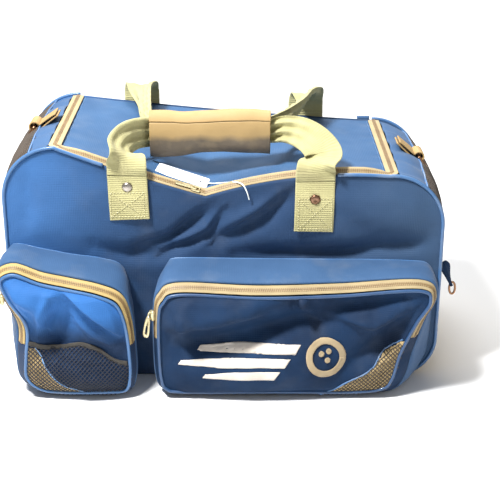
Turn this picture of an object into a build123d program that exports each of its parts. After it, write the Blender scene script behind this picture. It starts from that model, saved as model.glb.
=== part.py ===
"""Two-ball bowling bag: a soft nylon body with a zipped lid, two zipped front pockets and a webbing handle.

The frame: +X to the wearer's right as seen from the front, -Y towards the front, +Z up. The origin is the
middle of the underside of the main compartment. Lengths are in millimetres.
"""
from build123d import *
import os
from math import asin, cos, degrees, pi, radians, sin, sqrt

os.makedirs("parts", exist_ok=True)

# ---------------------------------------------------------------- main compartment
body_w = 500.0         # over the two end panels
body_d = 230.0         # over the front and back panels
left_top = 285.0       # height of the top seam at the left shoulder
right_top = 252.0      # the empty bag slumps, so its right shoulder stands lower
shoulder_r = 60.0      # upper corners of the front and back panels
base_r = 25.0          # lower corners
wall = 3.0             # nylon over thin foam
dip_x = -22.0          # the front top edge sags to its lowest point here
dip_z = 228.0
back_sag = 3.0         # the back top edge sags by this much in its middle
sag_left = (-104.0, 254.0)    # a point of the front top edge on each side of the dip
sag_right = (70.0, 249.0)
left_shoulder_deg = 30.0      # how far round the corner the blue shoulder gusset reaches
right_shoulder_deg = 42.0

# ---------------------------------------------------------------- main zip and lid
lid_inset = 4.0        # the lid ends this far inside the start of each shoulder
tape_t = 1.2
tape_end_w = 6.5       # tape that shows on each side of the chain along the two ends
tape_front_w = 4.2     # and along the front
chain_gap = 0.6        # between the two tapes
seam_gap = 0.3         # between pieces that move past each other
hinge_inset = 2.0      # the lid bends this far inside the outer face of the back panel
hinge_clear = 2.0      # the lid's fabric starts this far in front of that line

# ---------------------------------------------------------------- handles
webbing_w = 45.0
webbing_t = 2.2
stitch_gap = 0.2       # air between a sewn-on piece and the panel under it
left_leg_x = -110.0
right_leg_x = 103.0
left_leg_z = (203.0, 255.0)
right_leg_z = (188.0, 248.0)
leg_edge = 1.0         # the free strap starts this far above its stitched leg
back_leg_len = 75.0
back_leg_rise = 5.0    # the back legs pass the lid's bending line by this much
back_leg_gap = 2.8
left_rivet_z = 241.0
right_rivet_z = 227.0
rivet_r = 6.2
rivet_cap_t = 2.0
rivet_shank_r = 2.0
rivet_clear = 0.2
washer_r = 5.5
washer_t = 0.8

grip_x = (-91.0, 57.0)
grip_inset = 6.0       # the wrap stops this far inside each end of the folded straps
grip_y = -60.0
grip_z = 288.0
grip_h = 46.0
grip_d = 20.0
grip_t = 2.8
core_h = 36.0
core_t = 4.8
core_gap = 0.6         # between the two layers of webbing inside the grip
flap_gap = 0.5         # round the grip's closing flap

# ---------------------------------------------------------------- front pockets
pocket_d = 60.0        # how far a pocket stands out of the front panel
pocket_wall = 2.4
pocket_floor = 3.0     # height of the pockets' undersides
zip_start = 46.0       # depth at which the pocket's zip begins
pocket_tape_w = 6.0
pocket_tape_t = 1.5
piping_r = 2.0
#              left x, right x, left top z, right top z
right_back = (-70.0, 242.0, 150.0, 147.0)
right_face = (-81.0, 238.0, 139.0, 141.0)
left_back = (-250.0, -116.0, 172.0, 150.0)
left_face = (-249.0, -101.4, 163.0, 132.0)
pocket_top_r = 26.0
pocket_low_r = 22.0
right_fold_z = 76.0    # a flap folds out about the line between the two ends of its zip
left_fold_z = 68.0
corner_r = 92.0        # tan mesh corner of each pocket

# ---------------------------------------------------------------- sliders, pulls, rings
slider_l = 11.0
slider_w = 9.0
slider_t = 1.4
pull_w = 7.0
pull_l = 26.0
pull_t = 1.6
pull_eye_r = 1.8
ring_wire_r = 2.2
ring_span = 30.0
tab_w = 25.0
tab_t = 3.0

# ---------------------------------------------------------------- inside
board_t = 5.0
cup_r = 82.0
cup_bore_r = 58.0
cup_h = 18.0
ball_x = 118.0
divider_t = 8.0
divider_h = 130.0

half_w = body_w / 2
half_d = body_d / 2
inner_d = half_d - wall
arc_x = half_w - shoulder_r            # centre of both shoulder arcs
lid_half = arc_x - lid_inset
tops = {-1: left_top, 1: right_top}
shoulder_degs = {-1: left_shoulder_deg, 1: right_shoulder_deg}
slope = (right_top - left_top) / (2 * arc_x)
lid_line = (left_top + right_top) / 2  # height of the straight top line over the middle
hinge_y = half_d - hinge_inset
tape_outer_x = lid_half + 2 * tape_end_w + chain_gap


def xz(y):
    """The plane across the bag at depth y. An extrusion from it goes towards the front."""
    return Plane(origin=(0, y, 0), x_dir=(1, 0, 0), z_dir=(0, -1, 0))


def yz(x):
    """The plane along the bag's depth at x. An extrusion from it goes to the right."""
    return Plane(origin=(x, 0, 0), x_dir=(0, 1, 0), z_dir=(1, 0, 0))


def save(piece, name):
    piece.part.label = name
    export_step(piece.part, f"parts/{name}.step")


def block(x, y, z):
    """A box between two limits on each axis, for cutting."""
    middle = Pos((x[0] + x[1]) / 2, (y[0] + y[1]) / 2, (z[0] + z[1]) / 2)
    return middle * Box(x[1] - x[0], y[1] - y[0], z[1] - z[0], mode=Mode.PRIVATE)


def top_line(x):
    """Height of the straight line between the two shoulders."""
    return lid_line + slope * x


def arc_height(a, b, c, x):
    """Height at x of the upper or lower arc through three points."""
    (ax, az), (bx, bz), (cx, cz) = a, b, c
    d = 2 * (ax * (bz - cz) + bx * (cz - az) + cx * (az - bz))
    ux = ((ax**2 + az**2) * (bz - cz) + (bx**2 + bz**2) * (cz - az) + (cx**2 + cz**2) * (az - bz)) / d
    uz = ((ax**2 + az**2) * (cx - bx) + (bx**2 + bz**2) * (ax - cx) + (cx**2 + cz**2) * (bx - ax)) / d
    rise = sqrt((ax - ux) ** 2 + (az - uz) ** 2 - (x - ux) ** 2)
    return uz + rise if bz > uz else uz - rise


def front_edge(x):
    """Height of the front panel's sagging top edge."""
    if x < dip_x:
        return arc_height((-arc_x, left_top), sag_left, (dip_x, dip_z), x)
    return arc_height((dip_x, dip_z), sag_right, (arc_x, right_top), x)


def back_edge(x):
    """Height of the back panel's top edge."""
    return arc_height((-arc_x, left_top), (0, lid_line - back_sag), (arc_x, right_top), x)


def lid_height(x, y):
    """Height of the lid's upper surface, ruled between the two top edges."""
    back_y, front_y = hinge_y - hinge_clear, -inner_d
    share = (y - front_y) / (back_y - front_y)
    return front_edge(x) + (back_edge(x) - front_edge(x)) * share


# ================================================================ body panels
def panel_sides():
    """The bottom edge, both sides and both shoulders of a front or back panel, as lines."""
    Line((-half_w + base_r, 0), (half_w - base_r, 0))
    CenterArc((half_w - base_r, base_r), base_r, -90, 90)
    Line((half_w, base_r), (half_w, right_top - shoulder_r))
    CenterArc((arc_x, right_top - shoulder_r), shoulder_r, 0, 90)
    CenterArc((-arc_x, left_top - shoulder_r), shoulder_r, 90, 90)
    Line((-half_w, left_top - shoulder_r), (-half_w, base_r))
    CenterArc((-half_w + base_r, base_r), base_r, 180, 90)


def front_rivet_points():
    return [(left_leg_x, left_rivet_z), (right_leg_x, right_rivet_z)]


def back_rivet_points():
    return [(x, top_line(x) - back_leg_len / 2) for x in (left_leg_x, right_leg_x)]


with BuildPart() as front_panel:
    with BuildSketch(xz(-inner_d)):
        with BuildLine():
            panel_sides()
            ThreePointArc((arc_x, right_top), sag_right, (dip_x, dip_z))
            ThreePointArc((dip_x, dip_z), sag_left, (-arc_x, left_top))
        make_face()
        with Locations(*front_rivet_points()):
            Circle(rivet_shank_r + rivet_clear, mode=Mode.SUBTRACT)
    extrude(amount=wall)
save(front_panel, "front_panel")

with BuildPart() as back_panel:
    with BuildSketch(xz(half_d)):
        with BuildLine():
            panel_sides()
            ThreePointArc((arc_x, right_top), (0, lid_line - back_sag), (-arc_x, left_top))
        make_face()
        with Locations(*back_rivet_points()):
            Circle(rivet_shank_r + rivet_clear, mode=Mode.SUBTRACT)
    extrude(amount=wall)
save(back_panel, "back_panel")

with BuildPart() as bottom_panel:
    with BuildSketch(Plane.XY):
        Rectangle(body_w - 2 * base_r, 2 * inner_d)
    extrude(amount=wall)
save(bottom_panel, "bottom_panel")


def shoulder_point(side, angle, depth):
    """A point on a shoulder arc, at an angle from the vertical and a depth under the outer face."""
    r = shoulder_r - depth
    return side * (arc_x + r * sin(radians(angle))), tops[side] - shoulder_r + r * cos(radians(angle))


def shoulder_arc(side, start, stop, depth):
    """The shoulder arc between two angles from the vertical."""
    centre = (side * arc_x, tops[side] - shoulder_r)
    CenterArc(centre, shoulder_r - depth, 90 - side * start, -side * (stop - start))


def shoulder_band(side, start, stop, outer, inner):
    """A band along the shoulder between two angles and two depths."""
    with BuildSketch(xz(inner_d)) as band:
        with BuildLine():
            shoulder_arc(side, start, stop, outer)
            shoulder_arc(side, start, stop, inner)
            Line(shoulder_point(side, start, outer), shoulder_point(side, start, inner))
            Line(shoulder_point(side, stop, outer), shoulder_point(side, stop, inner))
        make_face()
    return band.sketch


def end_band(side, start, foot, outer, inner):
    """A band from an angle on the shoulder, down the end to the height foot, or round to the base."""
    with BuildSketch(xz(inner_d)) as band:
        with BuildLine():
            for depth in (outer, inner):
                x = side * (half_w - depth)
                shoulder_arc(side, start, 90, depth)
                Line((x, tops[side] - shoulder_r), (x, foot))
                if foot == base_r:
                    centre = (side * (half_w - base_r), base_r)
                    CenterArc(centre, base_r - depth, 0 if side > 0 else 180, -90 if side > 0 else 90)
            Line(shoulder_point(side, start, outer), shoulder_point(side, start, inner))
            if foot == base_r:
                Line((side * (half_w - base_r), outer), (side * (half_w - base_r), inner))
            else:
                Line((side * (half_w - outer), foot), (side * (half_w - inner), foot))
        make_face()
    return band.sketch


tape_end_deg = degrees(asin((tape_outer_x - arc_x) / shoulder_r))
mesh_foot = 112.0
mesh_t = 1.0

for side, word in ((-1, "left"), (1, "right")):
    with BuildPart() as shoulder:
        extrude(shoulder_band(side, tape_end_deg, shoulder_degs[side], 0, wall), amount=2 * inner_d)
    save(shoulder, f"{word}_shoulder")

    with BuildPart() as end_panel:
        extrude(end_band(side, shoulder_degs[side], base_r, 0, wall), amount=2 * inner_d)
    save(end_panel, f"{word}_end_panel")

    with BuildPart() as end_mesh:
        net = end_band(side, shoulder_degs[side] + 2, mesh_foot, -stitch_gap - mesh_t, -stitch_gap)
        extrude(net, amount=2 * inner_d)
    save(end_mesh, f"{word}_end_mesh")


def piping_ring(y):
    """Piping round both ends of a panel, clear of the base, the zip and the handles."""
    with BuildSketch(xz(y)) as ring:
        for side in (-1, 1):
            with BuildLine():
                for depth in (-2 * piping_r, 0):
                    shoulder_arc(side, 5, 90, depth)
                    x = side * (half_w - depth)
                    Line((x, tops[side] - shoulder_r), (x, base_r))
                Line(shoulder_point(side, 5, -2 * piping_r), shoulder_point(side, 5, 0))
                Line((side * (half_w + 2 * piping_r), base_r), (side * half_w, base_r))
            make_face()
    return ring.sketch


with BuildPart() as front_piping:
    extrude(piping_ring(-inner_d - seam_gap), amount=2 * piping_r)
save(front_piping, "front_piping")

with BuildPart() as back_piping:
    extrude(piping_ring(inner_d + seam_gap + 2 * piping_r), amount=2 * piping_r)
save(back_piping, "back_piping")


# ================================================================ lid and main zip
def lid_sheet(half, front_y, thickness, sink):
    """The lid's ruled surface made solid, from front_y to the bending line, sunk by a depth."""
    sections = []
    for y in (front_y, hinge_y - hinge_clear):
        with BuildSketch(xz(y)) as section:
            with BuildLine():
                for drop in (sink, sink + thickness):
                    stations = (-half, sag_left[0], dip_x, sag_right[0], half)
                    Polyline(*[(x, lid_height(x, y) - drop) for x in stations])
                for x in (-half, half):
                    Line((x, lid_height(x, y) - sink), (x, lid_height(x, y) - sink - thickness))
            make_face()
        sections.append(section.sketch)
    return sections


tape_outer_y = -inner_d + tape_front_w     # inner edge of the body's tape along the front
tape_lid_y = tape_outer_y + chain_gap      # outer edge of the lid's tape
lid_front_y = tape_lid_y + tape_front_w
tape_lid_x = lid_half + tape_end_w

with BuildPart() as lid_panel:
    loft(lid_sheet(lid_half, lid_front_y, wall, 0), ruled=True)
save(lid_panel, "lid_panel")

with BuildPart() as lid_zip_tape:
    loft(lid_sheet(tape_lid_x, tape_lid_y, tape_t, 0), ruled=True)
    add(block((-lid_half, lid_half), (lid_front_y, half_d), (0, 2 * left_top)), mode=Mode.SUBTRACT)
save(lid_zip_tape, "lid_zip_tape")

with BuildPart() as main_zip_tape:
    start = degrees(asin((tape_lid_x + chain_gap - arc_x) / shoulder_r))
    for side in (-1, 1):
        extrude(shoulder_band(side, start, tape_end_deg, 0, tape_t), amount=2 * inner_d)
    with BuildSketch(xz(tape_outer_y)):
        with BuildLine():
            for drop in (0, tape_t):
                left = (-arc_x, left_top - drop)
                right = (arc_x, right_top - drop)
                low = (dip_x, dip_z - drop)
                ThreePointArc(left, (sag_left[0], sag_left[1] - drop), low)
                ThreePointArc(low, (sag_right[0], sag_right[1] - drop), right)
            Line((-arc_x, left_top), (-arc_x, left_top - tape_t))
            Line((arc_x, right_top), (arc_x, right_top - tape_t))
        make_face()
        for side in (-1, 1):
            with BuildLine():
                shoulder_arc(side, 0, start, 0)
                shoulder_arc(side, 0, start, tape_t)
                Line((side * arc_x, tops[side]), (side * arc_x, tops[side] - tape_t))
                Line(shoulder_point(side, start, 0), shoulder_point(side, start, tape_t))
            make_face()
    extrude(amount=tape_front_w)
save(main_zip_tape, "main_zip_tape")

# A short rolled end of the zip, at the right back corner
end_roll_r, end_roll_bore_r, end_roll_len = 3.2, 1.2, 16.0
with BuildPart() as zip_end_tab:
    with BuildSketch(yz(lid_half - end_roll_len + 2)):
        with Locations((half_d + 1 + end_roll_r + stitch_gap, right_top + 1)):
            Circle(end_roll_r)
            Circle(end_roll_bore_r, mode=Mode.SUBTRACT)
    extrude(amount=end_roll_len)
save(zip_end_tab, "zip_end_tab")


# ================================================================ handles
def leg(x, low, high, y, rivet):
    """The outline of a stitched-down leg, with the rivet's hole."""
    with BuildSketch(xz(y)) as outline:
        with Locations((x, (low + high) / 2)):
            Rectangle(webbing_w, high - low)
        with Locations(rivet):
            Circle(rivet_shank_r + rivet_clear, mode=Mode.SUBTRACT)
    return outline.sketch


with BuildPart() as front_handle_legs:
    front_leg_y = -half_d - stitch_gap
    extrude(leg(left_leg_x, *left_leg_z, front_leg_y, front_rivet_points()[0]), amount=webbing_t)
    extrude(leg(right_leg_x, *right_leg_z, front_leg_y, front_rivet_points()[1]), amount=webbing_t)
save(front_handle_legs, "front_handle_legs")

with BuildPart() as back_handle_legs:
    back_leg_y = half_d + stitch_gap + webbing_t
    for x, rivet in zip((left_leg_x, right_leg_x), back_rivet_points()):
        outline = leg(x, top_line(x) - back_leg_len, top_line(x) + back_leg_rise, back_leg_y, rivet)
        extrude(outline, amount=webbing_t)
save(back_handle_legs, "back_handle_legs")


def rivet_sketch(y, radius, points):
    """Circles of one radius at each rivet, across the bag at depth y."""
    with BuildSketch(xz(y)) as circles:
        with Locations(*points):
            Circle(radius)
    return circles.sketch


cap_y = half_d + stitch_gap + webbing_t + stitch_gap     # under a rivet's cap
shank_end_y = inner_d - washer_t
with BuildPart() as front_rivets:
    extrude(rivet_sketch(-cap_y, rivet_r, front_rivet_points()), amount=rivet_cap_t)
    chamfer(front_rivets.edges().group_by(Axis.Y)[0], length=rivet_cap_t / 2)
    extrude(rivet_sketch(-shank_end_y, rivet_shank_r, front_rivet_points()), amount=cap_y - shank_end_y)
save(front_rivets, "front_rivets")

with BuildPart() as back_rivets:
    extrude(rivet_sketch(cap_y + rivet_cap_t, rivet_r, back_rivet_points()), amount=rivet_cap_t)
    chamfer(back_rivets.edges().group_by(Axis.Y)[-1], length=rivet_cap_t / 2)
    extrude(rivet_sketch(cap_y, rivet_shank_r, back_rivet_points()), amount=cap_y - shank_end_y)
save(back_rivets, "back_rivets")

with BuildPart() as rivet_washers:
    for y, points in ((-inner_d + washer_t, front_rivet_points()), (inner_d, back_rivet_points())):
        with BuildSketch(xz(y)):
            with Locations(*points):
                Circle(washer_r)
                Circle(rivet_shank_r + rivet_clear, mode=Mode.SUBTRACT)
        extrude(amount=washer_t)
save(rivet_washers, "rivet_washers")


def strap_run(start, stop, lean, width):
    """A straight run of webbing between two points. Its width leans from level, 0, to upright, 90."""
    start, stop = Vector(*start), Vector(*stop)
    run = (stop - start).normalized()
    level = Vector(0, 0, 1).cross(run).normalized() if abs(run.Z) < 0.99 else Vector(1, 0, 0)
    across = level * cos(radians(lean)) + run.cross(level) * sin(radians(lean))
    with BuildPart() as webbing:
        with BuildSketch(Plane(origin=start, x_dir=across, z_dir=run)):
            Rectangle(width, webbing_t)
        extrude(amount=(stop - start).length)
    return webbing.part


def grip_core(y):
    """The section of a strap's folded run through the grip."""
    with BuildSketch(yz(grip_x[0])) as section:
        with Locations((y, grip_z)):
            Rectangle(core_t, core_h)
    return section.sketch


front_core_y = grip_y - (core_t + core_gap) / 2
back_core_y = grip_y + (core_t + core_gap) / 2
strap_y = front_leg_y - webbing_t / 2

front_rise = 24.0      # the free strap stands up this far before it leans back over the lid
back_arch_z = 302.0
back_arch_y = 92.0
lean_deg = 30.0        # the straps lean towards the upright run inside the grip
run_w = webbing_w - 8  # folded a little there

def trim_arms(low_y, high_y):
    """Takes off what an arm leaves inside the wrap and on the other strap's side."""
    z = (grip_z - 60, grip_z + 60)
    middle = (grip_x[0] + grip_inset - 0.6, grip_x[1] - grip_inset + 0.6)
    add(block(middle, (grip_y - 40, grip_y + 40), z), mode=Mode.SUBTRACT)
    add(block((grip_x[0] - 40, grip_x[1] + 40), (low_y, high_y), z), mode=Mode.SUBTRACT)


with BuildPart() as front_handle_strap:
    for side, end_x, x, foot in (
        (-1, grip_x[0], left_leg_x, left_leg_z[1]),
        (1, grip_x[1], right_leg_x, right_leg_z[1]),
    ):
        bend = (x, strap_y, foot + front_rise)
        add(strap_run((x, strap_y, foot + leg_edge), (x, strap_y, foot + front_rise + 2), 0, webbing_w))
        add(strap_run(bend, (end_x - side * core_t, front_core_y, grip_z), side * lean_deg, run_w))
    trim_arms(grip_y - core_gap / 2, grip_y + 60)
    extrude(grip_core(front_core_y), amount=grip_x[1] - grip_x[0])
save(front_handle_strap, "front_handle_strap")

with BuildPart() as back_handle_strap:
    for side, end_x, x in ((-1, grip_x[0], left_leg_x), (1, grip_x[1], right_leg_x)):
        foot = top_line(x) + back_leg_rise + back_leg_gap
        y = back_leg_y - webbing_t / 2
        arch = (x, back_arch_y, back_arch_z)
        add(strap_run((x, y, foot), (x, y, back_arch_z - 8), 0, webbing_w))
        add(strap_run((x, y + 0.6, back_arch_z - 9.2), (x, back_arch_y - 1, back_arch_z + 0.4), 0, webbing_w))
        add(strap_run(arch, (end_x - side * core_t, back_core_y, grip_z), -side * lean_deg, run_w))
    trim_arms(grip_y - 60, grip_y + core_gap / 2)
    extrude(grip_core(back_core_y), amount=grip_x[1] - grip_x[0])
save(back_handle_strap, "back_handle_strap")

grip_front = grip_y - grip_d / 2
with BuildPart() as grip_wrap:
    with BuildSketch(yz(grip_x[0] + grip_inset)):
        with Locations((grip_y, grip_z)):
            RectangleRounded(grip_d, grip_h, 6)
            RectangleRounded(grip_d - 2 * grip_t, grip_h - 2 * grip_t, 3.2, mode=Mode.SUBTRACT)
        with Locations((grip_front, grip_z - 6)):
            Rectangle(2 * grip_t + 1, grip_h, mode=Mode.SUBTRACT)
    extrude(amount=grip_x[1] - grip_x[0] - 2 * grip_inset)
save(grip_wrap, "grip_wrap")

grip_flap_top = grip_z - 6 + grip_h / 2 - flap_gap
with BuildPart() as grip_flap:
    with BuildSketch(yz(grip_x[0] + grip_inset)):
        with Locations((grip_front + grip_t / 2, (grip_flap_top + grip_z - grip_h / 2) / 2)):
            RectangleRounded(grip_t, grip_flap_top - grip_z + grip_h / 2, 1.2)
    extrude(amount=grip_x[1] - grip_x[0] - 2 * grip_inset)
save(grip_flap, "grip_flap")


# ================================================================ pockets
zip_y = -half_d - zip_start                       # where the pocket's zip begins
tape_split = zip_y - pocket_tape_w                # where its body tape ends
flap_split = tape_split - chain_gap               # where its flap tape begins
face_y = -half_d - pocket_d                       # outer face of the pocket's front
face_back = face_y + pocket_wall


def pocket_rim(y, back, face, inset):
    """A pocket's rounded outline at one depth, between its seam on the body and its front."""
    share = (-half_d - y) / pocket_d
    x0, x1, z0, z1 = [b + (f - b) * share for b, f in zip(back, face)]
    with BuildSketch(xz(y)) as rim:
        corners = [(x0, pocket_floor), (x1, pocket_floor), (x1, z1), (x0, z0)]
        with BuildLine():
            Polyline(*corners, close=True)
        make_face()
        fillet(rim.vertices().group_by(Axis.Z)[0], radius=pocket_low_r)
        high = [v for v in rim.vertices() if v.Z > 2 * pocket_low_r + pocket_floor]
        fillet(high, radius=pocket_top_r)
        if inset:
            offset(amount=-inset)
    return rim.sketch


def pocket_ring(start, stop, back, face, thickness):
    """The pocket's wall between two depths, open at the front and at the back."""
    with BuildPart() as ring:
        loft([pocket_rim(y, back, face, 0) for y in (start, stop)])
        loft([pocket_rim(y, back, face, thickness) for y in (start, stop)], mode=Mode.SUBTRACT)
    return ring.part


def between(low, high):
    """Everything between two heights, to intersect with."""
    return block((-body_w, body_w), (-body_w, body_w), (low, high))


def corner_disc(side, radius, start, depth, thickness):
    """A round-cornered area at a pocket's lower outer corner."""
    centre = (right_face[1] + 8, pocket_floor - 8) if side > 0 else (left_face[0] - 8, pocket_floor - 8)
    with BuildSketch(xz(start - depth), mode=Mode.PRIVATE) as disc:
        with Locations(centre):
            Circle(radius)
    return extrude(disc.sketch, amount=thickness, mode=Mode.PRIVATE)


for word, side, back, face, fold_z in (
    ("right", 1, right_back, right_face, right_fold_z),
    ("left", -1, left_back, left_face, left_fold_z),
):
    with BuildPart() as gusset:
        add(pocket_ring(-half_d - stitch_gap, zip_y, back, face, pocket_wall))
    save(gusset, f"{word}_pocket_gusset")

    with BuildPart() as zip_tape:
        add(pocket_ring(zip_y, tape_split, back, face, pocket_tape_t))
        add(between(fold_z, 2 * left_top), mode=Mode.INTERSECT)
    save(zip_tape, f"{word}_pocket_zip_tape")

    with BuildPart() as flap_tape:
        add(pocket_ring(flap_split, face_back, back, face, pocket_tape_t))
        add(between(fold_z + seam_gap, 2 * left_top), mode=Mode.INTERSECT)
    save(flap_tape, f"{word}_flap_tape")

    with BuildPart() as corner:
        extrude(pocket_rim(face_back, back, face, 0), amount=pocket_wall)
        add(between(0, fold_z - seam_gap), mode=Mode.INTERSECT)
        add(corner_disc(side, corner_r, face_back, 0, pocket_wall), mode=Mode.INTERSECT)
    save(corner, f"{word}_mesh_corner")

    with BuildPart() as pocket_front:
        add(pocket_ring(zip_y, face_back, back, face, pocket_wall))
        extrude(pocket_rim(face_back, back, face, 0), amount=pocket_wall)
        add(between(0, fold_z - seam_gap), mode=Mode.INTERSECT)
        add(corner_disc(side, corner_r, face_back, 0, pocket_wall), mode=Mode.SUBTRACT)
    save(pocket_front, f"{word}_pocket_front")

    with BuildPart() as flap:
        extrude(pocket_rim(face_back, back, face, 0), amount=pocket_wall)
        add(between(fold_z + seam_gap, 2 * left_top), mode=Mode.INTERSECT)
    save(flap, f"{word}_pocket_flap")

    for name, low, high in (
        (f"{word}_pocket_piping", 0, fold_z - seam_gap),
        (f"{word}_flap_piping", fold_z + seam_gap, 2 * left_top),
    ):
        with BuildPart() as piping:
            extrude(pocket_rim(face_back, back, face, -piping_r), amount=pocket_wall)
            extrude(pocket_rim(face_back, back, face, 0), amount=pocket_wall, mode=Mode.SUBTRACT)
            add(between(low, high), mode=Mode.INTERSECT)
        save(piping, name)

    with BuildPart() as net:
        extrude(pocket_rim(face_y - stitch_gap, back, face, 3), amount=mesh_t)
        add(between(0, fold_z - 8), mode=Mode.INTERSECT)
        if side > 0:
            add(corner_disc(side, corner_r - 1, face_y - stitch_gap, 0, mesh_t), mode=Mode.INTERSECT)
    save(net, f"{word}_pocket_net")

binding_h = 6.0
with BuildPart() as net_binding:
    with BuildSketch(xz(face_y - stitch_gap)):
        with Locations(((left_face[0] + left_face[1]) / 2, left_fold_z - 8 + seam_gap + binding_h / 2)):
            Rectangle(left_face[1] - left_face[0] - 8, binding_h)
    extrude(amount=2 * mesh_t)
save(net_binding, "net_binding")

# Stitched emblem: a ball with three finger holes, and three speed bars
emblem_t = 0.8
ball_mark = (126.0, 48.0)
ball_mark_r = 19.0
bar_x = (-56.0, 98.0)
with BuildPart() as emblem:
    with BuildSketch(xz(face_y - stitch_gap)):
        with Locations(ball_mark):
            Circle(ball_mark_r)
        with Locations((ball_mark[0] - 5, ball_mark[1] + 7), (ball_mark[0] + 3, ball_mark[1] + 9),
                       (ball_mark[0] + 1, ball_mark[1] - 1)):
            Circle(2.6, mode=Mode.SUBTRACT)
        for n in range(3):
            length = (bar_x[1] - bar_x[0]) * (1 - 0.16 * n)
            with Locations((bar_x[1] - length / 2, ball_mark[1] + 6 - 11 * n)):
                SlotOverall(length, 5.5)
    extrude(amount=emblem_t)
    add(corner_disc(1, corner_r + 1, face_y, 0, 4), mode=Mode.SUBTRACT)
save(emblem, "pocket_emblem")


# ================================================================ sliders and pulls
bridge_l = 9.0         # the arch over a slider that its pull hangs from
bridge_w = 2.4
bridge_post = 1.0
bridge_room = 2.4      # height under the arch
pull_bar = 1.8         # thickness of the pull's end bar, which turns under the arch
pull_slot_l = 6.0
pull_slot_w = 3.8


def slider_body(place):
    """A slider's top plate with its arch. The place's x is the way it slides, its z is outwards."""
    with BuildPart() as body:
        with BuildSketch(place):
            RectangleRounded(slider_l, slider_w, 2)
        extrude(amount=slider_t)
        with BuildSketch(place.offset(slider_t)):
            with Locations((-(bridge_l - bridge_post) / 2, 0), ((bridge_l - bridge_post) / 2, 0)):
                Rectangle(bridge_post, bridge_w)
        extrude(amount=bridge_room)
        with BuildSketch(place.offset(slider_t + bridge_room)):
            Rectangle(bridge_l, bridge_w)
        extrude(amount=bridge_post)
    return body.part


def pull_body(place):
    """A pull that lies along the way its slider moves, with its end bar under the arch."""
    axis_height = slider_t + bridge_room / 2
    with BuildPart() as body:
        with BuildSketch(place.offset(axis_height - pull_t / 2)):
            with Locations(((pull_l - pull_bar) / 2, 0)):
                RectangleRounded(pull_l, pull_w, 2.0)
            with Locations((pull_bar / 2 + pull_slot_l / 2, 0)):
                Rectangle(pull_slot_l, pull_slot_w, mode=Mode.SUBTRACT)
            with Locations((pull_l - 7, 0)):
                SlotOverall(8, 2 * pull_eye_r, mode=Mode.SUBTRACT)
        extrude(amount=pull_t)
    return body.part


def wall_x(back_x, face_x, y):
    """Where a pocket's side wall stands at depth y."""
    return back_x + (face_x - back_x) * (-half_d - y) / pocket_d


main_slider_x = dip_x - 12
main_way = Vector(sag_left[0] - dip_x, 0, sag_left[1] - dip_z).normalized()
main_out = Vector(main_way.Z, 0, -main_way.X)
main_lift = 2.2
chain_y = tape_outer_y + chain_gap / 2
main_place = Plane(
    origin=Vector(main_slider_x, chain_y, front_edge(main_slider_x)) + main_out * main_lift,
    x_dir=main_way, z_dir=main_out,
)

pocket_chain_y = tape_split - chain_gap / 2
pocket_lift = 0.5


def pocket_slider_place(back_x, face_x, z):
    """On the outer face of a pocket's left side wall, with the way down as its x."""
    out = Vector(-pocket_d, face_x - back_x, 0).normalized()
    if out.X > 0:
        out = out * -1
    out = Vector(out.X, abs(out.Y) if face_x < back_x else -abs(out.Y), 0)
    start = Vector(wall_x(back_x, face_x, pocket_chain_y), pocket_chain_y, z)
    return Plane(origin=start + out * pocket_lift, x_dir=(0, 0, -1), z_dir=out)


right_slider_z = 104.0
left_slider_z = 124.0
for word, place in (
    ("main", main_place),
    ("right_pocket", pocket_slider_place(right_back[0], right_face[0], right_slider_z)),
    ("left_pocket", pocket_slider_place(left_back[0], left_face[0], left_slider_z)),
):
    with BuildPart() as slider:
        add(slider_body(place))
    save(slider, f"{word}_slider")
    with BuildPart() as pull:
        add(pull_body(place))
    save(pull, f"{word}_pull")


# ================================================================ shoulder-strap rings and side pull
roll_r = 6.0
roll_hole_r = 2.9
tab_depth = -(stitch_gap + mesh_t + stitch_gap)    # the tab lies over the mesh
ring_deg = {-1: 36.0, 1: 42.0}                     # where on the shoulder each roll sits
ring_leg = 5.0
ring_drop = 55.0                                   # how far below level a ring hangs

for side, word in ((-1, "left"), (1, "right")):
    roll_x, roll_z = shoulder_point(side, ring_deg[side], tab_depth - roll_r)
    with BuildPart() as tab:
        with BuildSketch(xz(tab_w / 2)):
            with BuildLine():
                for depth in (tab_depth, tab_depth - tab_t):
                    shoulder_arc(side, ring_deg[side] - 22, ring_deg[side], depth)
                for angle in (ring_deg[side] - 22, ring_deg[side]):
                    Line(shoulder_point(side, angle, tab_depth),
                         shoulder_point(side, angle, tab_depth - tab_t))
            make_face()
            with Locations((roll_x, roll_z)):
                Circle(roll_r)
                Circle(roll_hole_r, mode=Mode.SUBTRACT)
        extrude(amount=tab_w)
    save(tab, f"{word}_strap_tab")

    way = (side * cos(radians(ring_drop)), 0, -sin(radians(ring_drop)))
    flat = Plane(origin=(roll_x, 0, roll_z), x_dir=way, z_dir=Vector(*way).cross(Vector(0, 1, 0)))
    with BuildPart() as ring:
        half_span = ring_span / 2
        with BuildLine(flat) as path:
            Polyline((0, 0), (0, half_span), (ring_leg, half_span))
            ThreePointArc((ring_leg, half_span), (ring_leg + half_span, 0), (ring_leg, -half_span))
            Polyline((ring_leg, -half_span), (0, -half_span), (0, 0))
        with BuildSketch(Plane(origin=(roll_x, 0, roll_z), z_dir=(0, 1, 0))):
            Circle(ring_wire_r)
        sweep(path=path.line, transition=Transition.ROUND)
    save(ring, f"{word}_d_ring")

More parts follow.
